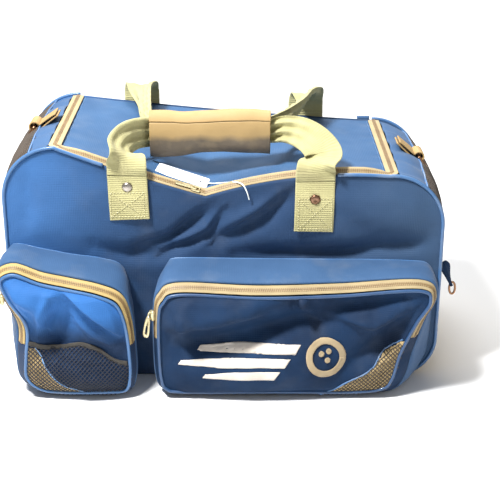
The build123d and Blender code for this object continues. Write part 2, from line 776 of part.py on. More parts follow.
side_pull_top = (255.0, 141.0)
side_pull_y = -104.0
side_pull_l = 38.0
side_pull_deg = 28.0
side_pull_t = 2.0
with BuildPart() as side_pull:
    place = Plane(
        origin=(side_pull_top[0], side_pull_y, side_pull_top[1]),
        x_dir=(sin(radians(side_pull_deg)), 0, -cos(radians(side_pull_deg))),
        z_dir=(cos(radians(side_pull_deg)), 0, sin(radians(side_pull_deg))),
    )
    with BuildSketch(place):
        with Locations((side_pull_l / 2, 0)):
            RectangleRounded(side_pull_l, 9, 3.5)
        with Locations((side_pull_l - 5, 0)):
            Circle(2.2, mode=Mode.SUBTRACT)
    extrude(amount=side_pull_t)
save(side_pull, "side_pull")


# ================================================================ inside
with BuildPart() as base_board:
    with BuildSketch(Plane.XY.offset(wall)):
        RectangleRounded(body_w - 2 * base_r - 2 * wall, 2 * inner_d - 2, 12)
    extrude(amount=board_t)
save(base_board, "base_board")

with BuildPart() as ball_cups:
    with BuildSketch(Plane.XY.offset(wall + board_t)):
        with Locations((-ball_x, 0), (ball_x, 0)):
            Circle(cup_r)
            Circle(cup_bore_r, mode=Mode.SUBTRACT)
    extrude(amount=cup_h)
save(ball_cups, "ball_cups")

with BuildPart() as centre_divider:
    with BuildSketch(Plane.XY.offset(wall + board_t)):
        Rectangle(divider_t, 2 * inner_d - 8)
    extrude(amount=divider_h)
save(centre_divider, "centre_divider")


# ================================================================ paper tag on a string
tag_t = 0.6
tag_lift = 2.6
tag_l = 62.0
tag_w = 25.0
tag_hole_r = 1.8
tag_hole_inset = 9.0
tag_left = (-81.0, -81.0)     # middles of the tag's two ends
tag_right = (-19.5, -91.0)

tag_start = Vector(*tag_left, lid_height(*tag_left) + tag_lift)
tag_end = Vector(*tag_right, lid_height(*tag_right) + tag_lift)
tag_way = (tag_end - tag_start).normalized()
lid_rise = (lid_height(-50, -70) - lid_height(-50, -100)) / 30
tag_cross = Vector(0, 1, lid_rise)
tag_up = tag_way.cross(tag_cross).normalized()
with BuildPart() as hang_tag:
    with BuildSketch(Plane(origin=tag_end, x_dir=tag_way, z_dir=tag_up)):
        with Locations((-tag_l / 2, 0)):
            RectangleRounded(tag_l, tag_w, 2.5)
        with Locations((-tag_hole_inset, 0)):
            Circle(tag_hole_r, mode=Mode.SUBTRACT)
    extrude(amount=tag_t)
save(hang_tag, "hang_tag")

string_d = 1.4
hole = tag_end - tag_way * tag_hole_inset + tag_up * (tag_t + string_d / 2 + 0.3)
# The string's route, from the tag's hole over the lid's edge to its loose end
string_route = [
    (hole.X, hole.Y, hole.Z),
    (-14.0, -96.0, 237.6),
    (0.0, -99.5, 239.8),
    (12.0, -107.0, 243.0),
    (20.0, -116.0, 243.8),
    (25.0, -120.5, 237.0),
    (28.0, -119.6, 226.5),
]


def route_radii(route):
    """The largest arc that each corner of a route has room for."""
    radii = []
    for before, at, after in zip(route, route[1:], route[2:]):
        first, second = Vector(*at) - Vector(*before), Vector(*after) - Vector(*at)
        turn = radians(first.get_angle(second))
        radii.append(0.45 * min(first.length, second.length) / (sin(turn / 2) / cos(turn / 2)))
    return radii


string_radii = route_radii(string_route)
with BuildPart() as tag_string:
    with BuildLine() as string_path:
        FilletPolyline(*string_route, radius=string_radii)
    first_way = Vector(*string_route[1]) - Vector(*string_route[0])
    with BuildSketch(Plane(origin=string_route[0], z_dir=first_way)):
        Circle(string_d / 2)
    sweep(path=string_path.line)
save(tag_string, "tag_string")
section = pi * string_d**2 / 4
string_length = string_path.wires()[0].length
print("string length", round(string_length, 2), "radii", [round(r, 1) for r in string_radii])
print("string volume", round(tag_string.part.volume, 2), "section x length", round(section * string_length, 2))
print("lid hinge", hinge_y, round(lid_line, 3), "direction", (1, 0, round(slope, 5)))
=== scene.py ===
"""Soft two-ball bowling bag: its looks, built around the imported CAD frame.

Sizes are in millimetres in the row frame."""

import math

import bpy
import numpy as np
from mathutils import Matrix, Vector, noise


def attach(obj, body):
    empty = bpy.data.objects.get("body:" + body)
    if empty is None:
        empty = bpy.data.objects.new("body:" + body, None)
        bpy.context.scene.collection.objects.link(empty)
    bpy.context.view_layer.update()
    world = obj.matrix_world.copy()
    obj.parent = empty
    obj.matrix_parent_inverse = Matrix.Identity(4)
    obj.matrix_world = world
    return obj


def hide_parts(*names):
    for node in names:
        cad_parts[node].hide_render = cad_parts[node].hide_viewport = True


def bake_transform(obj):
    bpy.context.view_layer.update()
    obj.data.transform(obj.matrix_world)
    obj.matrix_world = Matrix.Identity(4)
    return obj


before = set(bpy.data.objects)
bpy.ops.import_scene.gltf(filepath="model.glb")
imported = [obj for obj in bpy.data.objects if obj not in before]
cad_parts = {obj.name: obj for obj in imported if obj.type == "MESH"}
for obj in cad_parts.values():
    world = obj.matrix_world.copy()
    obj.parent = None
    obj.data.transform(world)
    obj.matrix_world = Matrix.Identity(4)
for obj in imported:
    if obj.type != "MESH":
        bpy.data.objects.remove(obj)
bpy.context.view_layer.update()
MM = 0.001
BAG = "bag"


# ---------------------------------------------------------------- materials
def shader(name, dark, light, rough=0.75, metal=0.0, sheen=0.0, spread=16.0, dust=None, dust_share=0.0,
           pitch=0.0, weave=(), bump=0.2, grain=0.0, grain_scale=700.0, coat=0.0, gain=(0.15, 0.85), spec=0.5,
           painted_light_zones=()):
    """A surface whose colour drifts between two tones, with dust, an optional woven bump and a fine grain, and
    optional painted light and shade past places along an axis.
    """
    m = bpy.data.materials.new(name)
    m.use_nodes = True
    nodes, links = m.node_tree.nodes, m.node_tree.links
    out = nodes["Principled BSDF"]
    out.inputs["Metallic"].default_value = metal
    out.inputs["Sheen Weight"].default_value = sheen
    out.inputs["Sheen Roughness"].default_value = 0.5
    out.inputs["Coat Weight"].default_value = coat
    out.inputs["Specular IOR Level"].default_value = spec
    where = nodes.new("ShaderNodeTexCoord").outputs["Object"]

    def cloud(scale, detail=5.0):
        n = nodes.new("ShaderNodeTexNoise")
        n.inputs["Scale"].default_value = scale
        n.inputs["Detail"].default_value = detail
        links.new(where, n.inputs["Vector"])
        return n.outputs["Fac"]

    def limits(value, low, high, start=0.0, stop=1.0):
        n = nodes.new("ShaderNodeMapRange")
        for key, v in (("From Min", low), ("From Max", high), ("To Min", start), ("To Max", stop)):
            n.inputs[key].default_value = v
        links.new(value, n.inputs["Value"])
        return n.outputs["Result"]

    def blended(share, a, b):
        n = nodes.new("ShaderNodeMix")
        n.data_type = "RGBA"
        links.new(share, n.inputs["Factor"])
        for socket, v in ((n.inputs[6], a), (n.inputs[7], b)):
            if isinstance(v, tuple):
                socket.default_value = (*v, 1)
            else:
                links.new(v, socket)
        return n.outputs[2]

    colour = blended(limits(cloud(spread), *gain), dark, light)
    if dust:
        colour = blended(limits(cloud(spread * 1.7, 8.0), 0.52, 0.8, 0.0, dust_share), colour, dust)
    for axis, low, high, tone in painted_light_zones:
        # painted light and shade: another tone past a place along one axis, with a ragged edge
        split = nodes.new("ShaderNodeSeparateXYZ")
        links.new(where, split.inputs[0])
        wobble = nodes.new("ShaderNodeMath")
        wobble.operation = "MULTIPLY_ADD"
        reach = 0.4 * abs(high - low) * MM + 0.012
        wobble.inputs[1].default_value = reach
        links.new(cloud(28.0), wobble.inputs[0])
        links.new(split.outputs[axis], wobble.inputs[2])
        colour = blended(limits(wobble.outputs[0], low * MM + reach / 2, high * MM + reach / 2), colour, tone)
    height = limits(cloud(grain_scale, 3.0), 0.2, 0.8, 0.0, grain) if grain else None
    for axis in weave:
        n = nodes.new("ShaderNodeTexWave")
        n.bands_direction = axis
        n.inputs["Scale"].default_value = 2 * math.pi / (20 * pitch * MM)
        n.inputs["Distortion"].default_value = 0.25
        n.inputs["Detail"].default_value = 1.0
        links.new(where, n.inputs["Vector"])
        if height is None:
            height = n.outputs["Fac"]
        else:
            plus = nodes.new("ShaderNodeMath")
            plus.operation = "ADD"
            links.new(height, plus.inputs[0])
            links.new(n.outputs["Fac"], plus.inputs[1])
            height = plus.outputs[0]
    if height is not None:
        n = nodes.new("ShaderNodeBump")
        n.inputs["Strength"].default_value = bump
        n.inputs["Distance"].default_value = 0.0006
        links.new(height, n.inputs["Height"])
        links.new(n.outputs["Normal"], out.inputs["Normal"])
    links.new(colour, out.inputs["Base Color"])
    links.new(limits(cloud(spread * 3), 0.3, 0.7, max(0.0, rough - 0.07), min(1.0, rough + 0.07)),
              out.inputs["Roughness"])
    return m


DUST = (0.42, 0.42, 0.36)
# the five nylon blues below stand for one cloth: their different tones are painted light and shade, lighter where
# light falls, darker in the shade
front_blue = shader("front nylon, painted light and shade", (0.009, 0.030, 0.080), (0.018, 0.054, 0.132), sheen=0.04, dust=DUST,
                    dust_share=0.06,
                    pitch=2.0, weave=("X", "Z"), bump=0.22, spec=0.3,
                    # painted light at both ends of the front, the left end bright blue and the right end greyer, so
                    # the middle under the grip reads as painted shade; the back panel and base use this nylon too
                    painted_light_zones=(("X", -100, -225, (0.036, 0.122, 0.310)), ("X", 90, 235, (0.036, 0.078, 0.155))))
lid_blue = shader("lid nylon", (0.022, 0.073, 0.170), (0.038, 0.108, 0.232), sheen=0.05, dust=DUST,
                  dust_share=0.06,
                  pitch=2.0, weave=("X", "Y"), bump=0.2, spec=0.3)
side_blue = shader("gusset nylon", (0.025, 0.070, 0.158), (0.050, 0.116, 0.240), sheen=0.06, dust=DUST,
                   dust_share=0.09,
                   pitch=2.0, weave=("X", "Y"), bump=0.2, spec=0.3)
left_blue = shader("left pocket nylon, painted shade", (0.018, 0.100, 0.300), (0.034, 0.155, 0.440), sheen=0.04,
                   pitch=2.0, weave=("X", "Z"), bump=0.24, spec=0.3,
                   # painted shade: the left pocket is darker from z 112 down to z 72 and below, under its ridge
                   painted_light_zones=(("Z", 112, 72, (0.0045, 0.024, 0.072)),))
# painted shade: the right pocket's nylon is darker overall; the side pull strip uses it too
right_shaded_blue = shader("right pocket nylon, painted shade", (0.0016, 0.0075, 0.024), (0.0085, 0.038, 0.105), dust=DUST,
                    dust_share=0.04,
                    pitch=2.0, weave=("X", "Z"), bump=0.2, spec=0.22)
tan_cloth = shader("tan nylon", (0.42, 0.30, 0.135), (0.60, 0.45, 0.22), sheen=0.1, dust=(0.2, 0.16, 0.1),
                   dust_share=0.3,
                   pitch=2.0, weave=("Y", "Z"), bump=0.2)
net_dark = shader("dark net", (0.035, 0.028, 0.022), (0.085, 0.062, 0.045), rough=0.6, spread=40)
net_navy = shader("navy net", (0.012, 0.014, 0.022), (0.030, 0.032, 0.045), rough=0.55, spread=40)
pipe_blue = shader("blue piping", (0.028, 0.100, 0.250), (0.080, 0.185, 0.370), rough=0.38, coat=0.15,
                   dust=DUST,
                   dust_share=0.3,
                   grain=0.3, bump=0.1)
pipe_navy = shader("navy piping", (0.012, 0.040, 0.110), (0.035, 0.095, 0.215), rough=0.36, coat=0.2,
                   grain=0.3,
                   bump=0.1)
zip_tan = shader("zip tape", (0.33, 0.255, 0.135), (0.47, 0.37, 0.205), rough=0.85, spread=30,
                 dust=(0.25, 0.2, 0.13),
                 dust_share=0.35, pitch=1.0, weave=("X", "Z"), bump=0.3)
zip_gold = shader("pocket zip tape", (0.39, 0.275, 0.10), (0.52, 0.385, 0.165), rough=0.82, spread=30,
                  dust=(0.3, 0.2, 0.1),
                  dust_share=0.3, pitch=1.0, weave=("X", "Z"), bump=0.3)
coil = shader("zip coil", (0.17, 0.105, 0.045), (0.30, 0.195, 0.09), rough=0.5, spread=60, grain=0.3,
              bump=0.1)
webbing = shader("webbing", (0.345, 0.32, 0.145), (0.50, 0.465, 0.235), rough=0.85, sheen=0.15, spread=26,
                 dust=(0.30, 0.25, 0.13),
                 dust_share=0.4, pitch=1.1, weave=("X",), bump=0.35, grain=0.5)
thread = shader("khaki thread", (0.50, 0.46, 0.24), (0.72, 0.67, 0.42), rough=0.8, spread=80, grain=0.4)
blue_thread = shader("blue thread", (0.10, 0.21, 0.40), (0.20, 0.34, 0.56), rough=0.8, spread=80, grain=0.4)
hide_top = shader("grip leather", (0.34, 0.215, 0.082), (0.44, 0.30, 0.125), rough=0.62, spread=22,
                  dust=(0.32, 0.2, 0.09),
                  dust_share=0.3, grain=1.0, grain_scale=1400, bump=0.3)
# the grip flap's leather is a shaded copy of the grip leather: its dark tone is dirt and painted shade, and its zone
# paints the flap's top in the lit tan tone as painted light
hide_low = shader("grip leather, dirt and painted shade", (0.07, 0.055, 0.036), (0.15, 0.115, 0.078), rough=0.6, spread=24,
                  dust=(0.5, 0.37, 0.2),
                  dust_share=0.25, grain=1.0, grain_scale=1400, bump=0.3,
                  painted_light_zones=(("Z", 281, 289, (0.35, 0.235, 0.095)),))
steel = shader("rivet steel", (0.32, 0.28, 0.24), (0.55, 0.50, 0.45), rough=0.33, metal=1.0, spread=160,
               grain=0.4,
               bump=0.12)
bronze = shader("rivet bronze", (0.16, 0.085, 0.05), (0.34, 0.20, 0.13), rough=0.38, metal=1.0, spread=160,
                grain=0.5,
                bump=0.15)
copper = shader("ring brass", (0.22, 0.105, 0.055), (0.48, 0.27, 0.15), rough=0.32, metal=1.0, spread=90,
                grain=0.4,
                bump=0.1)
gold = shader("slider metal", (0.60, 0.50, 0.27), (0.80, 0.72, 0.46), rough=0.36, metal=0.75, spread=120,
              grain=0.3,
              bump=0.08)
elastic = shader("elastic", (0.030, 0.028, 0.024), (0.075, 0.068, 0.058), rough=0.9, spread=60, pitch=1.2,
                 weave=("X",), bump=0.4)
silk = shader("embroidery thread", (0.62, 0.545, 0.46), (0.84, 0.77, 0.69), rough=0.5, sheen=0.3, spread=70,
              pitch=0.9,
              weave=("DIAGONAL",), bump=0.5)
gold_silk = shader("tan embroidery", (0.33, 0.245, 0.135), (0.48, 0.37, 0.22), rough=0.55, sheen=0.2,
                   spread=70,
                   pitch=0.9,
                   weave=("X",), bump=0.5)
board = shader("base board", (0.020, 0.020, 0.023), (0.040, 0.040, 0.045), rough=0.6, spread=40, grain=1.0,
               bump=0.3)
foam = shader("foam cup cloth", (0.045, 0.045, 0.050), (0.085, 0.085, 0.092), rough=0.95, sheen=0.2,
              spread=30,
              grain=1.0, bump=0.4)
card = shader("tag card", (0.80, 0.80, 0.80), (0.90, 0.90, 0.905), rough=0.7, spread=30, grain=0.3, bump=0.05)
twine = shader("string", (0.68, 0.75, 0.74), (0.86, 0.89, 0.88), rough=0.8, spread=300, grain=0.4)


# ---------------------------------------------------------------- mesh tools
def raw(name, points, faces, material, smooth=True):
    data = bpy.data.meshes.new(name)
    data.from_pydata([tuple(float(c) * MM for c in p) for p in points], [], faces)
    data.update()
    data.materials.append(material)
    data.polygons.foreach_set("use_smooth", [smooth] * len(data.polygons))
    piece = bpy.data.objects.new(name, data)
    bpy.context.scene.collection.objects.link(piece)
    return piece


def show(piece, body, slot, *nodes):
    if body:
        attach(piece, body)
    if nodes:
        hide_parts(*nodes)
    return piece


def normals(grid, wrap):
    """Unit normals of a grid of points, as the cross product of its two directions."""
    if wrap:
        du = np.roll(grid, -1, 0) - np.roll(grid, 1, 0)
    else:
        du = np.gradient(grid, axis=0)
    n = np.cross(du, np.gradient(grid, axis=1))
    return n / np.maximum(np.linalg.norm(n, axis=2, keepdims=True), 1e-9)


def two_sided(name, outer, inner, material, wrap=False):
    """A closed sheet between two grids of points; wrap joins its last row to its first."""
    nu, nv = outer.shape[:2]
    k = nu * nv
    faces = []
    for i in range(nu if wrap else nu - 1):
        a, b = i * nv, ((i + 1) % nu) * nv
        for j in range(nv - 1):
            faces.append((a + j, b + j, b + j + 1, a + j + 1))
            faces.append((k + a + j, k + a + j + 1, k + b + j + 1, k + b + j))
        faces.append((a, k + a, k + b, b))
        faces.append((a + nv - 1, b + nv - 1, k + b + nv - 1, k + a + nv - 1))
    if not wrap:
        for j in range(nv - 1):
            faces.append((j, j + 1, k + j + 1, k + j))
            a = (nu - 1) * nv
            faces.append((a + j, k + a + j, k + a + j + 1, a + j + 1))
    return raw(name, np.concatenate([outer.reshape(-1, 3), inner.reshape(-1, 3)]), faces, material)


def slab(name, grid, thick, material, wrap=False):
    """A sheet: the grid's surface, and a copy of it set back by a thickness against its normals."""
    grid = np.asarray(grid, float)
    return two_sided(name, grid, grid - normals(grid, wrap) * thick, material, wrap)


def between(a, b, c, d, count):
    """Points from b up to c on a smooth curve through a, b, c and d."""
    return [0.5 * (2 * b + (c - a) * t + (2 * a - 5 * b + 4 * c - d) * t**2 + (3 * b - a - 3 * c + d) * t**3)
            for t in np.linspace(0, 1, count, endpoint=False)]


def path(points, step=3.0, closed=False):
    """A smooth line through control points, sampled evenly."""
    p = np.asarray(points, float)
    n = len(p)
    out = []
    for i in range(n if closed else n - 1):
        if closed:
            a, b, c, d = p[(i - 1) % n], p[i], p[(i + 1) % n], p[(i + 2) % n]
        else:
            a, b, c, d = p[max(i - 1, 0)], p[i], p[i + 1], p[min(i + 2, n - 1)]
        count = max(2, int(np.linalg.norm(c - b) / step * 2))
        out += between(a, b, c, d, count)
    if not closed:
        out.append(p[-1])
    return resample(np.array(out), step, closed)


def resample(line, step=None, closed=False, count=None):
    if closed:
        line = np.vstack([line, line[:1]])
    run = np.concatenate([[0], np.cumsum(np.linalg.norm(np.diff(line[:, :3], axis=0), axis=1))])
    count = count or max(3, int(run[-1] / step) + 1)
    at = np.linspace(0, run[-1], count, endpoint=not closed)
    return np.stack([np.interp(at, run, line[:, c]) for c in range(line.shape[1])], axis=1)


def frames(line, closed, hint):
    """Two directions across a line at each of its points, the first near the hint."""
    if closed:
        t = np.roll(line, -1, 0) - np.roll(line, 1, 0)
    else:
        t = np.gradient(line, axis=0)
    t /= np.maximum(np.linalg.norm(t, axis=1, keepdims=True), 1e-9)
    side = np.empty_like(t)
    last = np.asarray(hint, float)
    for i, d in enumerate(t):
        s = last - d * np.dot(last, d)
        side[i] = s / max(np.linalg.norm(s), 1e-9)
        last = side[i]
    return side, np.cross(t, side)


def tube_data(line, radius, sides=8, closed=False, hint=(0.1, 0.2, 1), flat=1.0):
    side, up = frames(line, closed, hint)
    r = np.broadcast_to(radius, (len(line),))
    angles = np.linspace(0, 2 * math.pi, sides, endpoint=False)
    points = (line[:, None] + side[:, None] * (np.cos(angles)[None, :, None] * r[:, None, None])
              + up[:, None] * (np.sin(angles)[None, :, None] * r[:, None, None] * flat)).reshape(-1, 3)
    faces = []
    n = len(line)
    for i in range(n if closed else n - 1):
        a, b = i * sides, ((i + 1) % n) * sides
        for j in range(sides):
            k = (j + 1) % sides
            faces.append((a + j, a + k, b + k, b + j))
    if not closed:
        faces.append(tuple(range(sides))[::-1])
        faces.append(tuple((n - 1) * sides + j for j in range(sides)))
    return points, faces


def gather(name, parts, material, smooth=True):
    """One mesh out of many (points, faces)."""
    points, faces, k = [], [], 0
    for p, f in parts:
        points.append(np.asarray(p, float))
        faces += [tuple(i + k for i in face) for face in f]
        k += len(p)
    return raw(name, np.concatenate(points), faces, material, smooth)


def tube(name, line, radius, material, **more):
    return gather(name, [tube_data(line, radius, **more)], material)


def stitches(line, out, length=3.0, gap=1.4, radius=0.35, lift=0.15):
    """Short raised stitches along a line, as parts for gather()."""
    line = np.asarray(line, float)
    run = resample(np.hstack([line, np.broadcast_to(np.asarray(out, float), line.shape)]), 0.6)
    line, out = run[:, :3], run[:, 3:]
    every, keep = int((length + gap) / 0.6), max(3, int(length / 0.6))
    parts = []
    for i in range(0, len(line) - keep, every):
        seg = line[i:i + keep:max(1, keep // 3)] + out[i:i + keep:max(1, keep // 3)] * lift
        if len(seg) > 1:
            parts.append(tube_data(seg, radius, sides=5))
    return parts


def box_data(centre, x, y, z, size):
    """A small block with its own directions."""
    corners = []
    for i in (-0.5, 0.5):
        for j in (-0.5, 0.5):
            for k in (-0.5, 0.5):
                corners.append(centre + x * size[0] * i + y * size[1] * j + z * size[2] * k)
    return corners, [(0, 1, 3, 2), (4, 6, 7, 5), (0, 4, 5, 1), (2, 3, 7, 6), (0, 2, 6, 4), (1, 5, 7, 3)]


def rough_noise(p, scale, seed=0.0):
    return noise.noise(Vector((p[0] / scale + seed, p[1] / scale - seed, p[2] / scale + 2 * seed)))


def fold(px, pz, points, width, height, steep=1.0):
    """A ridge, or with a negative height a valley, along a polyline, fading out at its ends.

    steep narrows the side on its right."""
    best = np.full(np.shape(px), 1e9)
    share = np.zeros(np.shape(px))
    wide = np.full(np.shape(px), float(width))
    total = sum(math.dist(a, b) for a, b in zip(points, points[1:]))
    run = 0.0
    for a, b in zip(points, points[1:]):
        dx, dz = b[0] - a[0], b[1] - a[1]
        l2 = dx * dx + dz * dz
        t = np.clip(((px - a[0]) * dx + (pz - a[1]) * dz) / l2, 0, 1)
        d = np.hypot(px - a[0] - t * dx, pz - a[1] - t * dz)
        near = d < best
        best = np.where(near, d, best)
        wide = np.where(near, np.where(dx * (pz - a[1]) < dz * (px - a[0]), width * steep, width), wide)
        share = np.where(near, (run + t * math.sqrt(l2)) / total, share)
        run += math.sqrt(l2)
    return height * np.exp(-((best / wide) ** 2)) * (0.35 + 0.65 * np.sin(np.pi * np.clip(share, 0.02, 0.98)))


def folds(px, pz, rows):
    """The sum of several folds, each row holding fold()'s last arguments."""
    return sum(fold(px, pz, *row) for row in rows)


def net_data(surface, us, vs, radius=0.45, pitch=5.0):
    """Diamond net on a surface given as a function of two lengths in mm; strands run both ways on the diagonal."""
    parts = []
    (u0, u1), (v0, v1) = us, vs
    for way in (-1, 1):
        c = u0 - (v1 - v0)
        while c < u1 + (v1 - v0):
            line = []
            for v in np.arange(v0, v1 + 0.1, 2.5):
                u = c + way * (v - v0) + (0 if way > 0 else (v1 - v0))
                point = surface(u, v) if u0 <= u <= u1 else None
                if point is not None:
                    line.append(point)
                elif len(line) > 1:
                    break
                else:
                    line = []
            if len(line) > 1:
                parts.append(tube_data(np.array(line, float), radius, sides=4, hint=(0.3, -1, 0.2)))
            c += pitch
    return parts


# ---------------------------------------------------------------- sizes shared with the CAD
TOPS = {-1: 285.0, 1: 252.0}
ARC, SHOULDER, HALF, DEEP = 190.0, 60.0, 250.0, 115.0
DIP = (-22.0, 228.0)
BASE_R = 48.0
FLOOR_GAP = 2.6        # pocket cloth stays this far above the ground, for its thickness
WEBBING_W = 45.0
ZIP_PITCH = 2.1
SIDES = ((-1, "left"), (1, "right"))
FINE = (2.2, 1.5, 0.34)   # length, gap and radius of the leather's stitches
ROUND = 2 * math.pi


def circle_z(a, b, c, x):
    (ax, az), (bx, bz), (cx, cz) = a, b, c
    d = 2 * (ax * (bz - cz) + bx * (cz - az) + cx * (az - bz))
    ux = ((ax**2 + az**2) * (bz - cz) + (bx**2 + bz**2) * (cz - az) + (cx**2 + cz**2) * (az - bz)) / d
    uz = ((ax**2 + az**2) * (cx - bx) + (bx**2 + bz**2) * (ax - cx) + (cx**2 + cz**2) * (bx - ax)) / d
    rise = math.sqrt((ax - ux) ** 2 + (az - uz) ** 2 - (x - ux) ** 2)
    return uz + rise if bz > uz else uz - rise


def front_top(x):
    if abs(x) > ARC:
        side = 1 if x > 0 else -1
        return TOPS[side] - SHOULDER + math.sqrt(max(0.0, SHOULDER**2 - (abs(x) - ARC) ** 2))
    if x < DIP[0]:
        return circle_z((-ARC, TOPS[-1]), (-104.0, 254.0), DIP, x)
    return circle_z(DIP, (70.0, 249.0), (ARC, TOPS[1]), x)


def back_top(x):
    if abs(x) > ARC:
        return front_top(x)
    return circle_z((-ARC, TOPS[-1]), (0.0, 265.5), (ARC, TOPS[1]), x)


def base_z(x):
    if abs(x) <= HALF - BASE_R:
        return 0.0
    return BASE_R - math.sqrt(max(0.0, BASE_R**2 - (abs(x) - HALF + BASE_R) ** 2))


def columns(count=150):
    ends = np.linspace(0, math.pi / 2, 18)[1:]
    right = ARC + SHOULDER * np.sin(ends)
    return np.concatenate([-right[::-1], np.linspace(-ARC, ARC, count), right])


# ---------------------------------------------------------------- front and back panels
def panel_push(x, z, top):
    """How far the front panel stands out, from the load inside and the folds under the zip."""
    x, z = np.asarray(x, float), np.asarray(z, float)
    edge = np.clip((top - z) / 30, 0, 1) * np.clip((HALF - np.abs(x)) / 34, 0, 1)
    edge = edge * edge * (3 - 2 * edge)
    push = 4.0 * np.exp(-(((x + 165) / 75) ** 2) - ((z - 205) / 50) ** 2)
    push = push + 4.5 * np.exp(-(((x - 165) / 80) ** 2) - ((z - 205) / 42) ** 2)
    push = push + folds(x, z, [
        ([(-14, 222), (-36, 202), (-64, 178), (-104, 168)], 12, -6.5, 0.45),
        ([(-2, 212), (-18, 186), (-72, 158)], 9, -5.0, 0.4),
        ([(-8, 206), (-30, 182), (-84, 166)], 5, 2.8),
        ([(80, 240), (46, 210), (10, 187), (-8, 176)], 14, -6.0, 0.4),
        ([(60, 232), (30, 206), (0, 192)], 8, 3.0),
        ([(14, 156), (120, 158), (236, 172)], 11, -5.5),
        ([(-150, 168), (-110, 158), (-70, 154)], 10, -3.0),
        ([(126, 214), (170, 180), (228, 168)], 14, -2.5),
        ([(-232, 262), (-222, 220), (-232, 190)], 12, -2.0),
    ])
    return 2.1 * push * edge


def panel_grid(y, top, push, side):
    grid = []
    for x in columns():
        low, high = base_z(x), top(x)
        zs = low + (high - low) * np.linspace(0, 1, 76)
        out = push(np.full_like(zs, x), zs, high)
        ripple = np.array([0.7 * rough_noise((x, 0, z), 24.0, 1.3) + 0.3 * rough_noise((x, 0, z), 9.0,
            4.1) for z in zs])
        ripple *= np.clip((high - zs) / 20, 0, 1)
        grid.append([(x, y + side * (out[i] + ripple[i]), z) for i, z in enumerate(zs)])
    return np.array(grid)


front = panel_grid(-DEEP, front_top, panel_push, -1)
show(slab("front_panel_cloth", front, 2.4, front_blue), BAG, "body_nylon", "front_panel")


def back_push(x, z, top):
    edge = np.clip((top - z) / 40, 0, 1) * np.clip((HALF - np.abs(x)) / 40, 0, 1) * np.clip(z / 40, 0, 1)
    push = 3.0 * np.sin(math.pi * np.clip(z / 250, 0, 1)) + fold(x, z,
                                                                 [(-200, 40), (-120, 120), (-150, 200)], 18,
                                                                 -4)
    push = push + folds(x, z, [
        ([(190, 40), (100, 110), (120, 190)], 20, -4),
        ([(-60, 60), (40, 90)], 16, -3),
        ([(-40, 180), (60, 150)], 14, 2),
    ])
    return push * edge


back = panel_grid(DEEP, back_top, back_push, 1)
show(slab("back_panel_cloth", back[::-1], 2.4, front_blue), BAG, "body_nylon", "back_panel")


# ---------------------------------------------------------------- ends, shoulders and base
def outline_point(side, s):
    """A point on the bag's end outline, by length from the start of the shoulder down to the base."""
    arc = SHOULDER * math.pi / 2
    straight = TOPS[side] - SHOULDER - BASE_R
    low = BASE_R * math.pi / 2
    if s <= arc:
        a = s / SHOULDER
        return (side * (ARC + SHOULDER * math.sin(a)), TOPS[side] - SHOULDER + SHOULDER * math.cos(a), a)
    if s <= arc + straight:
        return (side * HALF, TOPS[side] - SHOULDER - (s - arc), math.pi / 2)
    a = min(math.pi / 2, (s - arc - straight) / BASE_R)
    return (side * (HALF - BASE_R + BASE_R * math.cos(a)), BASE_R - BASE_R * math.sin(a), math.pi / 2 + a)


def end_length(side):
    return SHOULDER * math.pi / 2 + TOPS[side] - SHOULDER - BASE_R + BASE_R * math.pi / 2


def end_surface(side, s, y, lift=0.0, gathers=0.0):
    x, z, a = outline_point(side, s)
    share = 1 - (y / 112.0) ** 2
    out = lift + 10.0 * max(0.0, share) ** 0.6 * math.sin(math.pi * min(1,
        max(0, s / end_length(side)))) ** 0.8
    out += 0.9 * rough_noise((s, y, side * 40), 26.0, 2.2)
    if gathers:
        out += gathers * math.sin(y / 6.5 + 2 * rough_noise((s, y, 0),
                                                            30.0)) * math.exp(-((s - 20) / 26) ** 2)
    return (x + side * math.sin(a) * out, y, z + math.cos(a) * out)


DEGS = {-1: 30.0, 1: 42.0}
for side, word in SIDES:
    start = SHOULDER * math.asin(10.0 / SHOULDER)
    turn = SHOULDER * math.radians(DEGS[side])
    total = end_length(side)
    ys = np.linspace(-113.6, 113.6, 84)
    ordered = ys if side > 0 else ys[::-1]

    def grid(s0, s1, n, **more):
        return np.array([[end_surface(side, s, y, **more) for y in ordered] for s in np.linspace(s0, s1, n)])

    show(slab(f"{word}_shoulder_cloth", grid(start, turn + 1, 20, gathers=1.3), 2.4, side_blue), BAG,
         "body_nylon",
         f"{word}_shoulder")
    show(slab(f"{word}_end_cloth", grid(turn, total, 90), 2.4, tan_cloth), BAG, "tan_nylon",
         f"{word}_end_panel")
    seam = np.array([end_surface(side, turn + 0.6, y, lift=0.6) for y in ys])
    show(tube(f"{word}_shoulder_seam", seam, 1.3, pipe_blue), BAG, "body_nylon")

    foot = SHOULDER * math.pi / 2 + (TOPS[side] - SHOULDER - 112.0)

    def on_end(u, v):
        return end_surface(side, v, u, lift=0.9) if -112 <= u <= 112 else None

    strands = net_data(on_end, (-112, 112), (turn + 2, foot), 0.75, 6.4)
    show(gather(f"{word}_end_net", strands, net_dark), BAG, "mesh", f"{word}_end_mesh")
    hem = np.array([end_surface(side, foot, y, lift=1.2) for y in ys])
    show(tube(f"{word}_net_hem", hem, 1.6, elastic, flat=0.6), BAG, "mesh")

base_x = np.linspace(-(HALF - BASE_R), HALF - BASE_R, 70)
under = np.array([[(x, y, 0.0) for y in np.linspace(114, -114, 40)] for x in base_x])
show(slab("base_cloth", under, 2.6, front_blue), BAG, "body_nylon", "bottom_panel")


